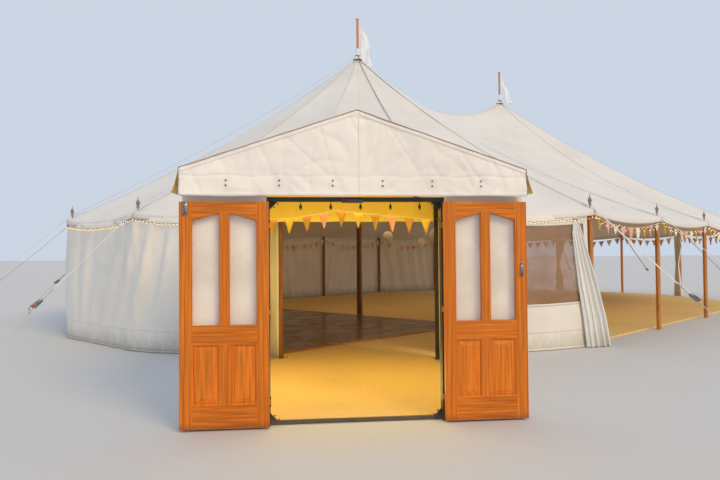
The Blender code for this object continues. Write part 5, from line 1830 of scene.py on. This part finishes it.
class MARQUEE_OT_lights(bpy.types.Operator):
    """Fairy lights under the eaves and small hanging bulbs at the porch header"""
    bl_idname = "marquee.lights"
    bl_label = "Small lights"

    # Across the doorway, from the porch's middle
    header_bulbs = (-0.497, -0.226, 0.044, 0.318, 0.587)

    def execute(self, context):
        black = painted_finish("light_flex", (0.02, 0.02, 0.02), 0.5)
        self.fairy_lights(black)
        self.bulbs(black)
        return {"FINISHED"}

    def fairy_lights(self, black):
        wire, bulbs = Shape(), Shape()
        open_bays = [(i, 0.17, sizes().eave_scallop, 1.0) for i in range(14, len(RING))]
        walled_bays = [(i, 0.104, -0.014, 0.25) for i in (0, 2, 3)]
        for n, (i, sag, bow, loose) in enumerate(open_bays + walled_bays):
            start, end = (place(RING[k % len(RING)], 0.108, 2.088) for k in (i, i + 1))
            out = faces_out((end - start).normalized(), start)
            steps = int((end - start).length / sizes().fairy_pitch)
            path = []
            for j, p in enumerate(hanging(start, end, sag, steps)):
                share = j / steps
                p -= out * bow * 4 * share * (1 - share)
                p.z += loose * (0.034 * math.sin(j * 2.1 + n) + 0.07 * noise.noise(p * 2.3))
                path.append(p)
                bulbs.ball(p - Vector((0, 0, 0.010)), 0.0068, 5, 1.3)
            # The wire is thicker than a real flex so that, being black, it also paints the shadow line under
            # the eave
            wire.tube(path, 0.0050, 4)
        bulbs.piece("small_bulbs", glow_finish("bulb_glow", tint("glow"), 2.6), slot="clear_sheet")
        wire.piece("fairy_light_wire", black, slot="dark_metal")

    def bulbs(self, black):
        """Unlit bulbs that hang from a flex behind the header, clear of the closed doors."""
        lamps, holders = Shape(), Shape()
        back = PORCH_FRONT + FRAME + 0.0035
        y, z = back + 0.015, HEADER_LOW - 0.002
        flex = [(PORCH_X + 0.66 * (i / 10 - 1), back, z + 0.026 - 0.004 * math.sin(i * 1.7))
                for i in range(21)]
        holders.tube(flex, 0.0030, 6)
        for x in self.header_bulbs:
            x += PORCH_X
            drop = [(x, back, z + 0.024), (x, y - 0.004, z + 0.016), (x, y, z + 0.004), (x, y, z - 0.022)]
            holders.tube(drop, 0.0030, 6)
            profile = ((0.005, 0.016), (0.009, 0.022), (0.015, 0.046), (0.014, 0.050), (0.004, 0.051))
            holders.turn([(radius, z - low) for radius, low in profile], 12, (x, y))
            lamps.ball((x, y, z - 0.056), 0.011, 6, 1.2)
        holders.piece("bulb_holders", black, slot="dark_metal", place=PORCH_PLACE)
        unlit = glow_finish("unlit_bulb", toned(tint("glow"), 0.25), 0.0)
        lamps.piece("porch_bulbs", unlit, slot="clear_sheet", place=PORCH_PLACE)


class MARQUEE_OT_lanterns(bpy.types.Operator):
    """Round paper lanterns hung in the middle of the tent"""
    bl_idname = "marquee.lanterns"
    bl_label = "Paper lanterns"

    # Place of each lantern's middle, and its share of the larger ones' radius
    spots = ((0.83, 1.9, 2.02, 0.82), (2.06, 0.9, 2.01, 1.2), (1.90, 3.1, 1.87, 0.68), (4.2, 1.6, 2.5, 1.0),
             (3.0, 5.2, 2.4, 0.9))

    def execute(self, context):
        paper = paper_finish("lantern_paper", (0.80, 0.74, 0.56))
        cord = plain_cloth_finish("lantern_cord", (0.5, 0.48, 0.45))
        shape, cords = Shape(), Shape()
        radius = sizes().lantern_radius
        for x, y, z, share in self.spots:
            r = radius * share
            rings = []
            for i in range(1, 24):
                tilt = math.pi * i / 24
                hoop = 1 + 0.012 * math.cos(16 * tilt)
                flat = r * hoop * math.sin(tilt)
                height = z - r * hoop * math.cos(tilt)
                rings.append([(x + flat * math.cos(a), y + flat * math.sin(a), height)
                              for a in angles_round(28)])
            shape.grid(rings, closed=True)
            top = canvas_xy(x, y) - 0.01
            cords.tube([(x, y, z + r * 0.95), (x, y, (z + r + top) / 2), (x, y, top)], 0.0025, 5)
            cords.ring((x, y, z + r * 0.985), (0, 0, 1), r * 0.135, 0.003, 16, 5)
        shape.piece("paper_lanterns", paper, slot="wall_fabric", thick=0.001)
        cords.piece("lantern_cords", cord, slot="guy_webbing")
        return {"FINISHED"}


class MARQUEE_OT_stage(bpy.types.Operator):
    """A plain pale floor, soft studio light and the camera"""
    bl_idname = "marquee.stage"
    bl_label = "Stage"

    def execute(self, context):
        scene = context.scene
        reach = (-380.0, 0.0, 380.0)
        shape = Shape()
        shape.grid([[(x, y, -0.003) for x in reach] for y in reach])
        shape.object("studio_floor", [studio_finish("studio_floor_paint", (0.62, 0.62, 0.62))])
        self.camera(scene)
        self.light(scene)
        return {"FINISHED"}

    def camera(self, scene):
        lens = bpy.data.cameras.new("camera")
        lens.sensor_width = 36.0
        lens.lens = FOCAL * lens.sensor_width / PICTURE_WIDTH
        lens.clip_end = 500.0
        item = bpy.data.objects.new("camera", lens)
        scene.collection.objects.link(item)
        yaw, pitch, roll = math.radians(1.2), math.atan(HORIZON / FOCAL), 0.008
        ahead = Vector((math.sin(yaw) * math.cos(pitch), math.cos(yaw) * math.cos(pitch), math.sin(pitch)))
        turn = ahead.to_track_quat("-Z", "Y").to_matrix().to_4x4()
        item.matrix_world = Matrix.Translation(CAMERA_PLACE) @ turn @ Matrix.Rotation(-roll, 4, "Z")
        scene.camera = item

    def light(self, scene):
        scene.view_settings.view_transform = "Standard"
        world = bpy.data.worlds.new("soft_sky")
        scene.world = world
        world.use_nodes = True
        sky = world.node_tree.nodes["Background"]
        sky.inputs["Color"].default_value = (0.597, 0.670, 0.780, 1.0)
        sky.inputs["Strength"].default_value = 1.0
        self.lamp("key", "SUN", (5.0, -6.8, 5.3), (0.0, 0.0, 0.0), 1.55, (1.0, 0.72, 0.38),
                  angle=math.radians(24.0))
        low, high, near_roof = (porch_point(0.0, -8.5, z) for z in (0.10, 2.0, 2.16))
        self.lamp("porch_panel", "AREA", near_roof, porch_point(0.0, -8.5), 31.0, (1.0, 0.75, 0.24),
                  shape="RECTANGLE", size=1.9, size_y=2.2)
        self.lamp("porch_rise", "AREA", low, high, 22.0, (1.0, 0.80, 0.28),
                  shape="RECTANGLE", size=1.6, size_y=2.4)
        for name, spot in (("front_warmth", (0.6, 1.2, 3.2)), ("back_warmth", (4.2, 4.0, 3.0))):
            self.lamp(name, "POINT", spot, (0.0, 0.0, 0.0), 44.0, (1.0, 0.64, 0.31), shadow_soft_size=0.4)

    def lamp(self, name, kind, spot, target, power, shade, **settings):
        lamp = bpy.data.lights.new(name, kind)
        lamp.energy = power
        lamp.color = shade
        for key, value in settings.items():
            setattr(lamp, key, value)
        item = bpy.data.objects.new(name, lamp)
        bpy.context.scene.collection.objects.link(item)
        item.visible_camera = False
        way = Vector(target) - Vector(spot)
        item.matrix_world = Matrix.Translation(spot) @ way.to_track_quat("-Z", "Y").to_matrix().to_4x4()


class MARQUEE_PT_panel(bpy.types.Panel):
    """Lists the marquee's pieces, sizes and colours"""
    bl_idname = "MARQUEE_PT_panel"
    bl_label = "Pole marquee"
    bl_space_type = "VIEW_3D"
    bl_region_type = "UI"
    bl_category = "Marquee"

    def draw(self, context):
        for group in (context.scene.marquee_sizes, context.scene.marquee_colours):
            for name in group.__annotations__:
                self.layout.prop(group, name)
        for piece in PIECES:
            self.layout.operator(piece.bl_idname)


PIECES = (MARQUEE_OT_stage, MARQUEE_OT_roof, MARQUEE_OT_king_poles, MARQUEE_OT_side_poles, MARQUEE_OT_guys,
          MARQUEE_OT_walls, MARQUEE_OT_window, MARQUEE_OT_gathered_wall, MARQUEE_OT_porch_cover,
          MARQUEE_OT_porch_walls, MARQUEE_OT_porch_frame, MARQUEE_OT_doors, MARQUEE_OT_porch_curtain,
          MARQUEE_OT_floor, MARQUEE_OT_bunting, MARQUEE_OT_lights, MARQUEE_OT_lanterns)
CLASSES = (MarqueeSizes, MarqueeColours) + PIECES + (MARQUEE_PT_panel,)


def register():
    for kind in CLASSES:
        bpy.utils.register_class(kind)
    bpy.types.Scene.marquee_sizes = PointerProperty(type=MarqueeSizes)
    bpy.types.Scene.marquee_colours = PointerProperty(type=MarqueeColours)


def unregister():
    del bpy.types.Scene.marquee_colours
    del bpy.types.Scene.marquee_sizes
    for kind in reversed(CLASSES):
        bpy.utils.unregister_class(kind)


def main():
    register()
    for piece in PIECES:
        group, name = piece.bl_idname.split(".")
        getattr(getattr(bpy.ops, group), name)()


if __name__ == "__main__":
    main()
